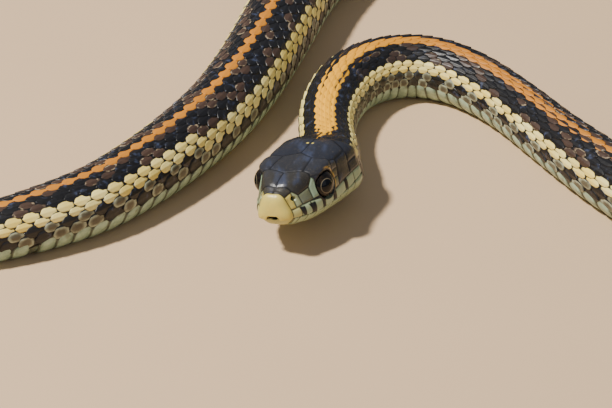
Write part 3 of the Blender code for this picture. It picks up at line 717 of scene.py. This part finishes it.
def readShields(a, degrees, radius, lower):
    # for each place: distance to the nearest seam, shield number, pale and warm
    seam, number = np.full(len(a), 9.0), np.full(len(a), -1)
    pale, warm = np.zeros(len(a)), np.zeros(len(a))
    for k, (part, outline, paleness, warmth, *bare) in enumerate(everyShield()):
        nearest, inside = nearestSeam(a, degrees, radius, outline, bare)
        right = lower if part == "lower" else ~lower
        seam = np.where(right, np.minimum(seam, nearest), seam)
        hit = inside & right
        number[hit], pale[hit], warm[hit] = k, paleness, warmth
    return seam, number, pale, warm


skin = {
    "upperRows": 96, "lowerRows": 50, "headStep": 0.067 * mm, "nearStep": 0.3 * mm,
    "bodyStep": 2 * mm, "bodyFrom": 21.2 * mm, "coarser": 7,
    "under": 0.2 * mm, "bellyUnder": 0.24 * mm, "thinUnder": 6.0,  # skin under the coat
    "upperArch": 0.66, "lowerArch": 0.07, "archHalf": 0.8,  # the tongue's slot, mm
    "slitDepth": 0.6 * mm, "slitHalf": 0.075 * mm, "cornerTurn": 104,
    "seamDepth": 0.05 * mm, "shieldRise": 0.05 * mm, "swell": 0.05 * mm, "brow": 0.22 * mm,
    "eyeRim": 0.06 * mm, "lipRound": 0.22 * mm, "chinTuck": 0.06 * mm, "spotAt": (12.6, 0.34),
    "map": (0.012, 0.97), "headMap": (0.5, 0.49), "stripMap": 0.12, "strips": 4,
}


def lipTurn(a, setBack, arch):
    # angle of the lip on each ring, pi where the ring doesn't reach it; the arches leave the slot
    turns = np.radians(np.linspace(60, 180, 241))
    radius = sectionAt(a[:, None], turns[None, :], setBack[:, None])[0]
    height = (radius * np.cos(turns) + head["centre"]) / mm
    middle = np.sqrt(np.clip(1 - (radius * np.sin(turns) / mm / skin["archHalf"]) ** 2, 0, 1))
    front = 1 - ease(0.5, 1.5, (a - setBack) / mm)
    over = height - mouthAt((a - setBack) / mm)[:, None] - arch * middle * front[:, None]
    found = np.array([np.interp(0.0, -row, turns) for row in over])
    behind = ease(head["mouthCorner"] - 0.5, head["mouthCorner"] + 3.5, a / mm)
    return found * (1 - behind) + math.radians(skin["cornerTurn"]) * behind


def headRings():
    # the snout's face by its radius, close together where the mouth opens, then by length
    reach = np.concatenate((np.linspace(0.03, 0.35, 14), np.linspace(0.362, 0.65, 25),
                            np.arange(0.67, 0.895, 0.02)))
    blunt = head["snoutBlunt"]
    front = head["snoutRound"] * (1 - (1 - reach ** blunt) ** (1 / blunt))
    rest = np.arange(front[-1] + 0.05 * mm, 15.4 * mm, skin["headStep"])
    return np.concatenate((front, rest, np.arange(15.6 * mm, 20.6 * mm, skin["nearStep"])))


def closeRings(half, other=None):  # mid crown to mid throat, and back up the other side
    return np.concatenate((half, (half if other is None else other)[:, -2:0:-1]), axis=1)


def makeSkin():
    rings = headRings()
    up, low = skin["upperRows"], skin["lowerRows"]
    setBack = head["jawSetBack"] * (1 - ease(1.5 * mm, 7 * mm, rings))
    upperLip = lipTurn(rings, np.zeros(len(rings)), skin["upperArch"])
    lowerLip = lipTurn(rings + setBack, setBack, skin["lowerArch"])
    reached, lowReached = upperLip < math.pi - 1e-4, lowerLip < math.pi - 1e-4
    opened = reached & (rings < head["mouthCorner"] * mm)
    gap = np.where(reached, skin["slitHalf"] / sectionAt(rings, upperLip)[0], 0.0)
    lowStart = np.where(lowReached, np.minimum(lowerLip + gap, math.pi), math.pi)
    turn = np.column_stack((
        (upperLip - gap)[:, None] * np.linspace(0, 1, up + 1),
        np.where(lowReached, (upperLip + lowerLip) / 2, math.pi),
        lowStart[:, None] + (math.pi - lowStart)[:, None] * np.linspace(0, 1, low + 1)))
    lower = np.zeros(turn.shape, dtype=bool)
    lower[:, up + 2:] = True
    back = np.where(lower, np.where(lowReached, setBack, 0.0)[:, None], 0.0)
    s = rings[:, None] + back
    out, data = headRelief(s, turn, lower, upperLip, lowerLip, opened)
    slit = skin["slitDepth"] * np.where(reached, 1 - ease(13.0, 15.2, rings / mm), 0)
    face = 1 - ease(0.6 * mm, 2.2 * mm, rings)  # on the snout's face the slit runs straight back
    out[:, up + 1] -= slit * (1 - face) + 0.03 * mm * opened
    points = {}
    for side in (-1, 1):
        points[side], deep = shapeSockets(surfaceAt(s, side * turn, out, back), side)
        points[side][:, up + 1] += headBack * (1.5 * slit * face)[:, None]
    # deep marks the recesses for their painted shade: the sockets, the open mouth's slit row and, weaker,
    # the slot's rim
    deep[:, up + 1] = np.maximum(deep[:, up + 1], opened)
    deep[:, up] = np.maximum(deep[:, up], 0.35 * (reached & (rings < 0.25 * mm)))  # the slot's rim, painted shade
    data["deep"] = deep[..., None]
    for grid in (*points.values(), *data.values()):  # rings above the lower lip have no lower rows
        grid[~lowReached, up + 2:] = grid[~lowReached, up + 1][:, None]
        grid[~reached, up + 1:] = grid[~reached, up][:, None]
    return (closeRings(points[1], points[-1]), closeRings(s), closeRings(turn, -turn),
            {name: closeRings(grid) for name, grid in data.items()})


def headRelief(s, turn, lower, upperLip, lowerLip, opened):
    # how far each place of the head stands out, and what its colours need to know
    a, degrees, low = s.ravel() / mm, np.degrees(turn).ravel(), lower.ravel()
    radius = sectionAt(s, turn)[0].ravel() / mm
    arc = degrees * radius * math.pi / 180
    seam, number, pale, warm = readShields(a, degrees, radius, low)
    tone = np.where(number >= 0, np.random.default_rng(3).random(80)[number], 0.5)
    rise = skin["shieldRise"] * ease(0.02, 0.3, seam) - skin["seamDepth"] * (1 - ease(0.0, 0.16, seam))
    out = np.where(number >= 0, rise + skin["swell"] * ease(0.1, 1.2, seam), -0.02 * mm)
    fromLip = np.where(lower, turn - lowerLip[:, None], upperLip[:, None] - turn).ravel() * radius
    fromLip, opened = np.abs(fromLip), np.repeat(opened, s.shape[1])
    out = out - opened * skin["lipRound"] * (1 - ease(0.0, 0.34, fromLip)) ** 2
    out = out - (opened & low) * skin["chinTuck"] * (1 - ease(0.3, 1.4, fromLip))
    # the mouth's edge counts as a seam, for its line of painted shade
    seam = np.where(opened & (fromLip < 0.09), 0.0, seam)
    behind = ease(14.3, 15.6, a - 0.5 * (degrees > 50))
    out = out * (1 - behind) - skin["under"] * behind
    ex, _, ez = (at / mm for at in head["eyeAt"])
    height = radius * np.cos(np.radians(degrees)) + head["centre"] / mm
    fromEye, aside = np.hypot(a - ex, height - ez), degrees > 40
    out = out + skin["eyeRim"] * (np.exp(-((fromEye - 1.88) / 0.12) ** 2) * aside)
    brow = np.exp(-((degrees - 54) / 6) ** 2) * ease(5.0, 5.8, a) * (1 - ease(8.0, 9.2, a))
    out = out + skin["brow"] * brow
    ring = (fromEye < 2.1) & aside & ~low
    # the rim round the eye counts as a seam, for its line of painted shade
    seam = np.where(ring, np.minimum(seam, np.abs(fromEye - 1.76)), seam)
    gold = np.exp(-((fromEye - 1.9) / 0.1) ** 2) * ease(ex - 0.6, ex + 0.6, a) * aside
    gold = gold * (height > ez - 1.1)
    spotBack, spotAside = skin["spotAt"]
    spots = 1 - ease(0.16, 0.24, np.hypot(a - spotBack, 1.4 * (arc - spotAside)))
    share = turnToShare(np.radians(degrees), s.ravel())
    place = np.searchsorted(rowEdges, s.ravel())
    masks, ground = markings(s.ravel(), share, place, np.full(len(a), 0.5))
    onHead = 1 - ease(14.1, 14.7, a - 0.75 * ease(40, 60, degrees))
    columns = {
        "shields": (onHead, np.where(low, 1.0, pale), gold),
        "relief": (np.minimum(seam, 1.0), tone, warm),
        "headPlace": (a, degrees, ~low), "stripe": (arc, stripeHalfAt(a), a * 0),
        "marks": masks.T, "ground": ground.T, "spots": (spots * ~low,),
    }
    return out.reshape(s.shape), {name: np.stack(given, -1).reshape(*s.shape, -1)
                                  for name, given in columns.items()}


def shapeSockets(points, side):  # sinks the skin under the eye and into the nostril, and gives both places as a mask of painted shade
    a, b, c = ((points - snoutPoint) @ way for way in (headBack, headLeft * side, headUp))
    ex, _, ez = head["eyeAt"]
    sunk = (1 - ease(1.58 * mm, 1.72 * mm, np.hypot(a - ex, c - ez))) * (b > 2.5 * mm)
    points = points - (headLeft * side) * (sunk * 1.6 * mm)[..., None]
    na, nb, nc = head["nostrilAt"]
    near, beside = np.sqrt((a - na) ** 2 + (b - nb) ** 2 * 0.2 + (c - nc) ** 2), b > 1.2 * mm
    pit = (1 - ease(0.17 * mm, 0.33 * mm, near)) * beside
    points = points - unit(headLeft * side - headBack * 0.5) * (pit * 0.6 * mm)[..., None]
    return points, np.maximum((1 - ease(0.12 * mm, 0.24 * mm, near)) * beside, sunk)


def buildSkinPiece():
    loop, sLoop, turnLoop, data = makeSkin()
    rings, count = loop.shape[:2]
    step, (edge, span), (headEdge, headSpan) = skin["coarser"], skin["map"], skin["headMap"]
    coarseTurns = turnLoop[-1, ::step]
    bodyRings = np.arange(skin["bodyFrom"], body["tailTipAt"] - 0.3 * mm, skin["bodyStep"])
    coarse, lengths = len(coarseTurns), len(bodyRings)
    s, turn = np.meshgrid(bodyRings, coarseTurns, indexing="ij")
    thin = np.minimum(1.0, widthAt(s / mm) / skin["thinUnder"])
    under = np.where(np.abs(turn) > math.radians(110), skin["bellyUnder"], skin["under"]) * thin
    noseTip = surfaceAt(np.array([0.0]), np.array([0.0]))
    tailTip = surfaceAt(np.array([body["tailTipAt"]]), np.array([0.0]), -0.3 * mm)
    behind = surfaceAt(s, turn, -under).reshape(-1, 3)
    vertices = np.vstack((loop.reshape(-1, 3), behind, noseTip, tailTip))
    vertices[:, 2] = np.maximum(vertices[:, 2], 0.0)
    nose, tail = len(vertices) - 2, len(vertices) - 1
    perStrip = math.ceil((lengths + 1) / skin["strips"])

    def headPlace(i, j, more=0):
        return edge + span * (i + more + 1) / (rings + 3), headEdge + headSpan * j / count

    def bodyPlace(i, j, more=0):
        strip, along = divmod(i, perStrip)
        across = strip + 0.05 + 0.9 * j / coarse
        return edge + span * (along + more) / perStrip, across * skin["stripMap"]

    faces, places = [*ringQuads(0, rings, count)], [*quadPlaces(headPlace, rings, count)]
    for j in range(count):
        faces.append((nose, j, (j + 1) % count))
        places += [headPlace(-1, j + 0.5), headPlace(0, j), headPlace(0, j + 1)]
    last, first = (rings - 1) * count, rings * count
    for j in range(coarse):  # from the head's fine rings to the body's coarser ones
        reach = min(step, count - step * j)
        fine = [last + (step * j + m) % count for m in range(reach, -1, -1)]
        faces.append((first + j, first + (j + 1) % coarse, *fine))
        places += [headPlace(rings, step * j), headPlace(rings, step * j + reach)]
        places += [headPlace(rings - 1, step * j + m) for m in range(reach, -1, -1)]
    faces += ringQuads(first, lengths, coarse)
    places += quadPlaces(bodyPlace, lengths, coarse)
    end = first + (lengths - 1) * coarse
    for j in range(coarse):
        faces.append((end + j, tail, end + (j + 1) % coarse))
        places += [bodyPlace(lengths - 1, j + way / 2, way % 2) for way in range(3)]
    piece = addObject("snake_skin", newMesh("snake_skin", vertices, faces, skinLook))
    putMap(piece.data, places)
    share, row = turnToShare(turn, s).ravel(), np.searchsorted(rowEdges, s.ravel())
    masks, ground = markings(s.ravel(), share, row, np.full(s.size, 0.5))
    arc = turn.ravel() * sectionAt(s, turn)[0].ravel() / mm
    stripe = np.stack((arc, stripeHalfAt(s.ravel() / mm), arc * 0), -1)
    none = np.zeros((s.size, 3))
    for name, onBody, atNose, atTail in (
            ("shields", none, (1, 1, 0), (0, 0, 0)), ("relief", none + 1, (1, 0.5, 1), (1, 1, 1)),
            ("headPlace", none, (0, 0, 0), (0, 0, 0)), ("spots", none[:, :1], (0,), (0,)),
            ("deep", none[:, :1], (0,), (0,)), ("marks", masks, (0, 0, 0), (0, 0, 0)),
            ("ground", ground, (0, 0, 0), (0, 0, 0)), ("stripe", stripe, (9, 0.1, 0), (9, 0.1, 0))):
        onHead = data[name].reshape(-1, data[name].shape[-1])
        putAttribute(piece.data, name, np.vstack((onHead, onBody, atNose, atTail)).squeeze())
    putAttribute(piece.data, "chance", np.full(len(vertices), 0.5))
    along = np.concatenate((sLoop.ravel(), s.ravel(), (0.0, body["tailTipAt"]))) / mm
    putAttribute(piece.data, "along", along)
    faceOutward(piece.data, merge=True)
    return piece


skinPiece = buildSkinPiece()
print("skin ready,", len(skinPiece.data.polygons), "faces")

# One scale, its root at the origin and its tip at x = 1
scaleForm = {
    "across": (-0.5, -0.28, -0.08, 0, 0.08, 0.28, 0.5), "lengthwise": (0, 0.2, 0.42, 0.64, 0.82, 0.94, 1),
    "keel": 0.045, "keelHalf": 0.06, "camber": 0.10, "lift": 0.17, "sink": -0.10, "skirt": 0.14,
    "tip": 0.30, "root": 0.55, "roundness": 2.8, "tipPull": 0.05,
}
smoothForm = {**scaleForm, "keel": 0.0, "camber": 0.12, "lift": 0.10, "sink": -0.05}


def makeScaleForm(name, form):
    x, y = np.meshgrid(form["lengthwise"], form["across"], indexing="ij")
    girth = np.sqrt(np.clip(1 - np.abs(2 * x - 1.0) ** form["roundness"], 0, 1))
    girth[-1], girth[0] = form["tip"], form["root"]
    keel = form["keel"] * np.exp(-(y / form["keelHalf"]) ** 2) * ease(0.0, 0.3, x)
    keel = keel * (1 - 0.6 * ease(0.85, 1.0, x))
    height = form["sink"] + form["lift"] * x + keel
    height = height - form["camber"] * (y / 0.5) ** 2 * (0.4 + 0.6 * girth)
    tipPull = form["tipPull"] * (y / 0.5) ** 2 * ease(0.8, 1.0, x)
    grid = np.stack((x - tipPull, y * girth, height), -1).reshape(-1, 3)
    lie = np.stack((x, y * girth, x * 0), -1).reshape(-1, 3)
    number = np.arange(x.size).reshape(x.shape)
    corners = (number[:-1, 1:], number[1:, 1:], number[1:, :-1], number[:-1, :-1])
    faces = np.stack(corners, -1).reshape(-1, 4).tolist()
    border = [*number[:, 0], *number[-1, 1:], *number[-2::-1, -1]]  # all round but the root
    skirt = grid[border] * (1.0, 1.04, 1.0) + (0.01, 0.0, -form["skirt"])
    faces += [(border[k + 1], x.size + k + 1, x.size + k, border[k]) for k in range(len(border) - 1)]
    mesh = newMesh(name, np.vstack((grid, skirt)), faces)
    putAttribute(mesh, "lie", np.vstack((lie, lie[border] * (1.0, 1.1, 1.0) + (0.03, 0.0, 1.0))))
    return addObject(name, mesh)


def makeLayScales():  # lays one form on every point, turned and sized by the points' attributes
    tree = bpy.data.node_groups.new("layScales", "GeometryNodeTree")
    given = addSockets(tree, {
        "Geometry": "Geometry", "Scale Form": "Object", "Look": "Material", "Length": "Float",
        "Width": "Float", "Thickness": "Float", "Variation": "Float", "Seed": "Int",
    }, {"Geometry": "Geometry"})
    outWay, backWay, sizes = (
        value(tree, "GeometryNodeInputNamedAttribute", data_type="FLOAT_VECTOR", Name=name)
        for name in ("outWay", "backWay", "sizes"))
    form = value(tree, "GeometryNodeObjectInfo", output="Geometry", Object=given["Scale Form"])
    turn = value(tree, "FunctionNodeAxesToRotation", outWay, backWay, primary_axis="Z",
                 secondary_axis="X")
    size = value(tree, "ShaderNodeCombineXYZ", given["Length"], given["Width"], given["Thickness"])
    size = value(tree, "ShaderNodeVectorMath", sizes, size, operation="MULTIPLY")
    low, high = 1.0 - given["Variation"], 1.0 + given["Variation"]
    vary = value(tree, "FunctionNodeRandomValue", None, None, low, high, output=1, data_type="FLOAT",
                 Seed=given["Seed"])
    size = value(tree, "ShaderNodeVectorMath", size, operation="SCALE", Scale=vary)
    laid = value(tree, "GeometryNodeInstanceOnPoints", Points=given["Geometry"], Instance=form,
                 Rotation=turn, Scale=size)
    real = value(tree, "GeometryNodeRealizeInstances", laid)
    addNode(tree, "NodeGroupOutput", value(tree, "GeometryNodeSetMaterial", Geometry=real,
                                           Material=given["Look"]))
    return tree


def runTree(name, carrier, tree, values):  # plain mesh piece from a tree on a carrier
    modifier = carrier.modifiers.new(tree.name, "NODES")
    modifier.node_group = tree
    for item in tree.interface.items_tree:
        if item.item_type == "SOCKET" and item.in_out == "INPUT" and item.name in values:
            modifier[item.identifier] = values[item.name]
    mesh = bpy.data.meshes.new_from_object(carrier.evaluated_get(bpy.context.evaluated_depsgraph_get()))
    carrier.modifiers.remove(modifier)
    bpy.data.objects.remove(carrier)
    mesh.name = name
    return addObject(name, mesh)


# The coat: sizes in steps of the rows
coat = {
    "length": 1.38, "width": 1.5, "thickness": 1.0, "variation": 0.04, "start": 0.22, "deep": 0.1,
    "pieces": ((-9, -6), (-5, -2), (-1, 1), (2, 5), (6, 9)), "seed": 11, "thinUnder": 2.3 * mm,
    "atTail": 1.6 * mm, "edge": 0.35, "slack": 0.1,
    "frontEdge": ((0, 13.9), (27, 13.95), (45, 14.5), (60, 14.8), (85, 14.9), (105, 15)),
}
throat = {"rows": 11, "from": 9.6, "to": 18.6, "edge": 126, "pitch": 1.05, "length": 1.3,
          "width": 1.25, "seed": 31, "map": (0.04, 0.92)}
frontEdgeAt = smoothTable(coat["frontEdge"])


def scalePoints(firstRow, lastRow):
    for number, edge in enumerate(rowEdges[:-1]):
        pitch = rowEdges[number + 1] - edge
        for row in range(firstRow, lastRow + 1):
            s = edge + (0.5 * pitch if row % 2 else 0.0)
            half = float(rowsAt(s / mm)) / 2
            share = abs(row) / half
            if share > 1 - coat["edge"] / half or s > body["tailTipAt"] - coat["atTail"]:
                continue
            front = frontEdgeAt(math.degrees(float(shareToTurn(share, s))))
            if s >= (front - coat["slack"]) * mm:
                yield s, share * (1 if row >= 0 else -1), pitch, half * 2, number


def layPoints(name, points, tree, form, seed, sizes):
    # points: place, turn, length, width and the marks of each scale
    s, turn, pitch, wide = points["s"], points["turn"], points["pitch"], points["wide"]
    outWay, backWay, stretch = lieAt(s, turn, pitch)
    thick = np.minimum(1.0, pitch / coat["thinUnder"]) * mm
    mesh = newMesh(name, surfaceAt(s - coat["start"] * pitch, turn, -coat["deep"] * thick), [])
    u, v = points.get("unwrap") or unwrapPlace(s, turn)
    arc = turn * sectionAt(s, turn)[0] / mm
    for given, values in (
            ("outWay", outWay), ("backWay", backWay),
            ("sizes", np.stack((pitch * stretch, wide, thick), -1)),
            ("stripe", np.stack((arc, stripeHalfAt(s / mm), wide * sizes[1] / mm), -1)),
            ("marks", points["marks"]), ("ground", points["ground"]), ("chance", points["chance"]),
            ("along", s / mm), ("uvRoot", np.stack((u, v, u * 0), -1))):
        putAttribute(mesh, given, values)
    piece = runTree(name, addObject(name, mesh), tree, {
        "Scale Form": form, "Look": scaleLook, "Length": sizes[0], "Width": sizes[1],
        "Thickness": coat["thickness"], "Variation": coat["variation"], "Seed": seed})
    putPatchMap(piece.data, bakeMap["patch"])
    return piece


def makeCoatPiece(name, rows, tree, form, seed):
    s, share, pitch, rows, number = np.array(list(scalePoints(*rows))).T
    turn = shareToTurn(share, s)
    above, below = (shareToTurn(np.abs(share) + way / rows, s) for way in (-0.5, 0.5))
    chance = np.random.default_rng(seed).random(len(s))
    masks, ground = markings(s, np.abs(share), number, chance)
    wide = np.abs(below - above) * 2 * sectionAt(s, turn)[0]
    points = {"s": s, "turn": turn, "pitch": pitch, "wide": wide, "marks": masks, "ground": ground,
              "chance": chance}
    return layPoints(name, points, tree, form, seed, (coat["length"], coat["width"]))


def makeThroatScales(tree, form, seed):  # small smooth scales from the chin shields to the belly plates
    step = (180.0 - throat["edge"]) * 2 / (throat["rows"] - 1)
    lines = int((throat["to"] - throat["from"]) / throat["pitch"])
    line, row = (at.ravel() for at in np.meshgrid(range(lines), range(throat["rows"]), indexing="ij"))
    degrees = throat["edge"] + step * row
    a = throat["from"] + throat["pitch"] * (line + 0.5 * (row % 2))
    aside = np.abs(degrees - 180.0)
    startAt = np.select([aside < 12, aside < 33], [10.0, 9.9], 10.4 + (aside - 33) * 0.24)
    kept = (startAt < a) & (a < 17.9 + 0.004 * aside)  # between the chin shields and the first plate
    s, turn = a[kept] * mm, np.radians(np.where(degrees > 180, degrees - 360, degrees))[kept]
    along = (s / mm - throat["from"]) / (throat["to"] - throat["from"])
    aside = (np.degrees(turn) % 360 - throat["edge"]) / (360 - 2 * throat["edge"])
    none = np.zeros((len(s), 3))
    low, span = throat["map"]
    points = {"s": s, "turn": turn, "pitch": none[:, 0] + throat["pitch"] * mm, "marks": none,
              "unwrap": (low + span * along, low + span * aside), "ground": none + (0, 1, 0),
              "wide": math.radians(step) * sectionAt(s, turn)[0],
              "chance": np.random.default_rng(seed).random(len(s))}
    return layPoints("throat_scales", points, tree, form, seed, (throat["length"], throat["width"]))


def putPatchMap(mesh, patch):  # each scale or plate has its own patch of the bake map
    corners = np.empty(len(mesh.loops), dtype=np.int32)
    mesh.loops.foreach_get("vertex_index", corners)
    place = getVectors(mesh, "uvRoot")[:, :2] + (getVectors(mesh, "lie")[:, :2] - (0.5, 0.0)) * patch
    putMap(mesh, place[corners])
    for used in ("uvRoot", "outWay", "backWay", "sizes"):
        if used in mesh.attributes:
            mesh.attributes.remove(mesh.attributes[used])


layScales = makeLayScales()
oneScale, throatScale = makeScaleForm("keeledScale", scaleForm), makeScaleForm("throatScale", smoothForm)
coatPieces = []
for number, rows in enumerate(coat["pieces"]):
    seed = coat["seed"] + number
    coatPieces.append(makeCoatPiece(f"scales_{number + 1}", rows, layScales, oneScale, seed))
    print(coatPieces[-1].name, len(coatPieces[-1].data.polygons), "faces")
coatPieces.append(makeThroatScales(layScales, throatScale, throat["seed"]))
bpy.data.objects.remove(oneScale)
bpy.data.objects.remove(throatScale)

# Belly plates, each with its rear edge over the next; profile: share of its length and mm outwards
plates = {
    "columns": 26, "from": 17.3 * mm, "atTail": 1.9 * mm, "corner": 0.42, "cornerDrop": 0.16 * mm,
    "rounding": (0.78, 0.22, 2.2), "tuck": 7.0, "thinUnder": 6.0, "mapDown": 0.045, "seed": 23,
    "profile": ((-0.22, -0.22), (0.12, -0.12), (0.34, -0.04), (0.62, 0.01), (0.9, 0), (1.14, -0.04),
                (1.17, -0.18)),
}


def plateGrid(s0, s1, turns, across, thin):  # rows from the hidden front of a plate to its rear lip
    low, span, power = plates["rounding"]
    rounded = 1 - np.sqrt(np.clip(1 - np.clip((np.abs(across) - low) / span, 0, 1) ** power, 0, 1))
    for t, out in plates["profile"]:
        s = s0 + (s1 - s0) * (t - plates["corner"] * rounded * max(t, 0))
        out = out * mm - plates["cornerDrop"] * rounded
        grid = surfaceAt(np.minimum(s, body["tailTipAt"]), turns, out * thin)
        grid[:, 2] = np.maximum(grid[:, 2], 0.0)
        yield grid


def makePlates():
    vertices, faces, lies, along, chances, roots = [], [], [], [], [], []
    columns, profile = plates["columns"], plates["profile"]
    chance = np.random.default_rng(plates["seed"]).random(len(plateEdges) * 2)
    t = np.linspace(-1, 1, columns + 1)
    for number, (s0, s1) in enumerate(zip(plateEdges, plateEdges[1:])):
        if s0 < plates["from"] or s1 > body["tailTipAt"] - plates["atTail"]:
            continue
        edge = math.radians(float(bellyEdgeAt(s0 / mm)) - plates["tuck"])
        thin = min(1.0, float(widthAt(s0 / mm)) / plates["thinUnder"])
        for side in ((1, -1) if s0 > body["ventAt"] else (0,)):  # in pairs behind the vent
            shift = (s1 - s0) * 0.5 if side == -1 else 0.0
            turns, across = math.pi + (math.pi - edge) * t, t
            if side:
                turns, across = side * (edge + (math.pi - edge) * (t + 1) / 2), side * (1 - (t + 1) / 2)
            for row in range(len(profile) - 1):
                for j in range(columns):
                    a = len(vertices) + row * len(t) + j
                    face = (a, a + len(t), a + len(t) + 1, a + 1)
                    faces.append(face if side != 1 else face[::-1])
            total = len(profile) * len(t)
            vertices.extend(np.vstack(list(plateGrid(s0 + shift, s1 + shift, turns, across, thin))))
            lies.extend((step, at, 0.0) for step, _ in profile for at in across)
            u, v = unwrapPlace(s0 + shift, math.pi * 0.999)
            roots.extend([(u, v - plates["mapDown"], 0.0)] * total)
            along.extend([s0 / mm] * total)
            chances.extend([chance[number * 2 + (side == -1)]] * total)
    piece = addObject("belly_plates", newMesh("belly_plates", vertices, faces, plateLook))
    none = np.zeros((len(vertices), 3))
    for name, values in (("lie", lies), ("marks", none), ("ground", none + (0, 1, 0)), ("along", along),
                         ("chance", chances), ("uvRoot", roots), ("stripe", none + (9, 0.1, 0))):
        putAttribute(piece.data, name, values)
    putPatchMap(piece.data, bakeMap["platePatch"])
    faceOutward(piece.data)
    return piece


platesPiece = makePlates()
print("belly plates ready,", len(platesPiece.data.polygons), "faces")

# Eyes
eyes = {"rings": 34, "sides": 56, "forward": 0.72, "upward": 0.10, "wide": 1.68 * mm, "deep": 1.43 * mm,
        "outward": 0.2 * mm}


def makeEye(name, side):
    a, b, c = head["eyeAt"]
    centre = snoutPoint + headBack * a + headLeft * ((b + eyes["outward"]) * side) + headUp * c
    out = unit(headLeft * side - headBack * eyes["forward"] + headUp * eyes["upward"])
    across = unit(np.cross(out, headUp))
    rows, count = eyes["rings"] - 1, eyes["sides"]
    tilt, turn = (way.reshape(-1, 1) for way in np.meshgrid(
        np.linspace(0, math.pi, rows + 2)[1:-1], np.linspace(0, 2 * math.pi, count, endpoint=False),
        indexing="ij"))
    grid = (out * np.cos(tilt) + across * (np.sin(tilt) * np.cos(turn))
            + np.cross(across, out) * (np.sin(tilt) * np.sin(turn)))
    ball = np.vstack((grid, out, -out)) * eyes["wide"]
    flatter = (ball @ headLeft)[:, None] * headLeft * (1 - eyes["deep"] / eyes["wide"])
    faces, last = list(ringQuads(0, rows, count)), (rows - 1) * count
    for j in range(count):
        k = (j + 1) % count
        faces += [(rows * count, j, k), (rows * count + 1, last + k, last + j)]
    piece = addObject(name, newMesh(name, centre + ball - flatter, faces, eyeLook))
    putAttribute(piece.data, "gaze", np.concatenate((np.degrees(tilt).ravel(), (0, 180))))
    faceOutward(piece.data)
    return piece


leftEye = makeEye("eye_ball_left", 1)
rightEye = makeEye("eye_ball_right", -1)
print("eyes ready")

# What rides, what is replaced
fleshNodes = [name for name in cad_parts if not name.startswith("eye")]
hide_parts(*fleshNodes)
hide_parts("eye_left")
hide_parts("eye_right")
for piece, slot in ((skinPiece, "head_skin"), (platesPiece, "body_skin"), (leftEye, "eye"),
                    (rightEye, "eye"), *((piece, "body_skin") for piece in coatPieces)):
    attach(piece, "root")

# Floor, light and camera
stage = {
    "floor": 3.0, "floorDown": -0.00005, "floorShade": 0.94, "floorGrain": (30.0, 3.0),
    "floorRough": 0.85, "world": 0.26, "sky": (0.80, 0.86, 1.0, 1.0),
    "key": {"place": (-0.40, -0.12, 0.70), "target": (0.0, -0.01, 0.0), "size": 0.07, "power": 12.0,
            "colour": (1.0, 0.96, 0.90)},
    "fill": {"place": (0.5, -0.7, 0.5), "target": (0.0, 0.0, 0.0), "size": 0.7, "power": 0.7,
             "colour": (0.92, 0.96, 1.0)},
    "cameraAt": (0.01067, -0.35010, 0.19449), "cameraTilt": 59.0, "lens": 178.146, "sensor": 36.0,
    "near": 0.01,
}


def makeFloor():
    look, tree = newLook("paleFloor")
    shade = tuple(c * stage["floorShade"] for c in colours["floor"])
    setLook(look, blend(noise(tree, *stage["floorGrain"]), "floor", shade), stage["floorRough"])
    far, down = stage["floor"], stage["floorDown"]
    corners = [(-far, -far, down), (far, -far, down), (far, far, down), (-far, far, down)]
    floor = addObject("floor", newMesh("floor", corners, [(0, 1, 2, 3)], look))


def addLight(name, place, target, size, power, colour):
    light = bpy.data.lights.new(name, "AREA")
    light.size, light.energy, light.color = size, power, colour
    lamp = addObject(name, light)
    lamp.location = place
    lamp.rotation_euler = (Vector(target) - Vector(place)).to_track_quat("-Z", "Y").to_euler()


makeFloor()
addLight("key", **stage["key"])
addLight("fill", **stage["fill"])
world = bpy.data.worlds.new("softSky")
world.use_nodes = True
sky = world.node_tree.nodes["Background"].inputs
sky["Color"].default_value, sky["Strength"].default_value = stage["sky"], stage["world"]
bpy.context.scene.world = world

camera = addObject("camera", bpy.data.cameras.new("camera"))
camera.data.lens, camera.data.sensor_width = stage["lens"], stage["sensor"]
camera.data.clip_start = stage["near"]
camera.location = stage["cameraAt"]
camera.rotation_euler = (math.radians(stage["cameraTilt"]), 0.0, 0.0)
bpy.context.scene.camera = camera
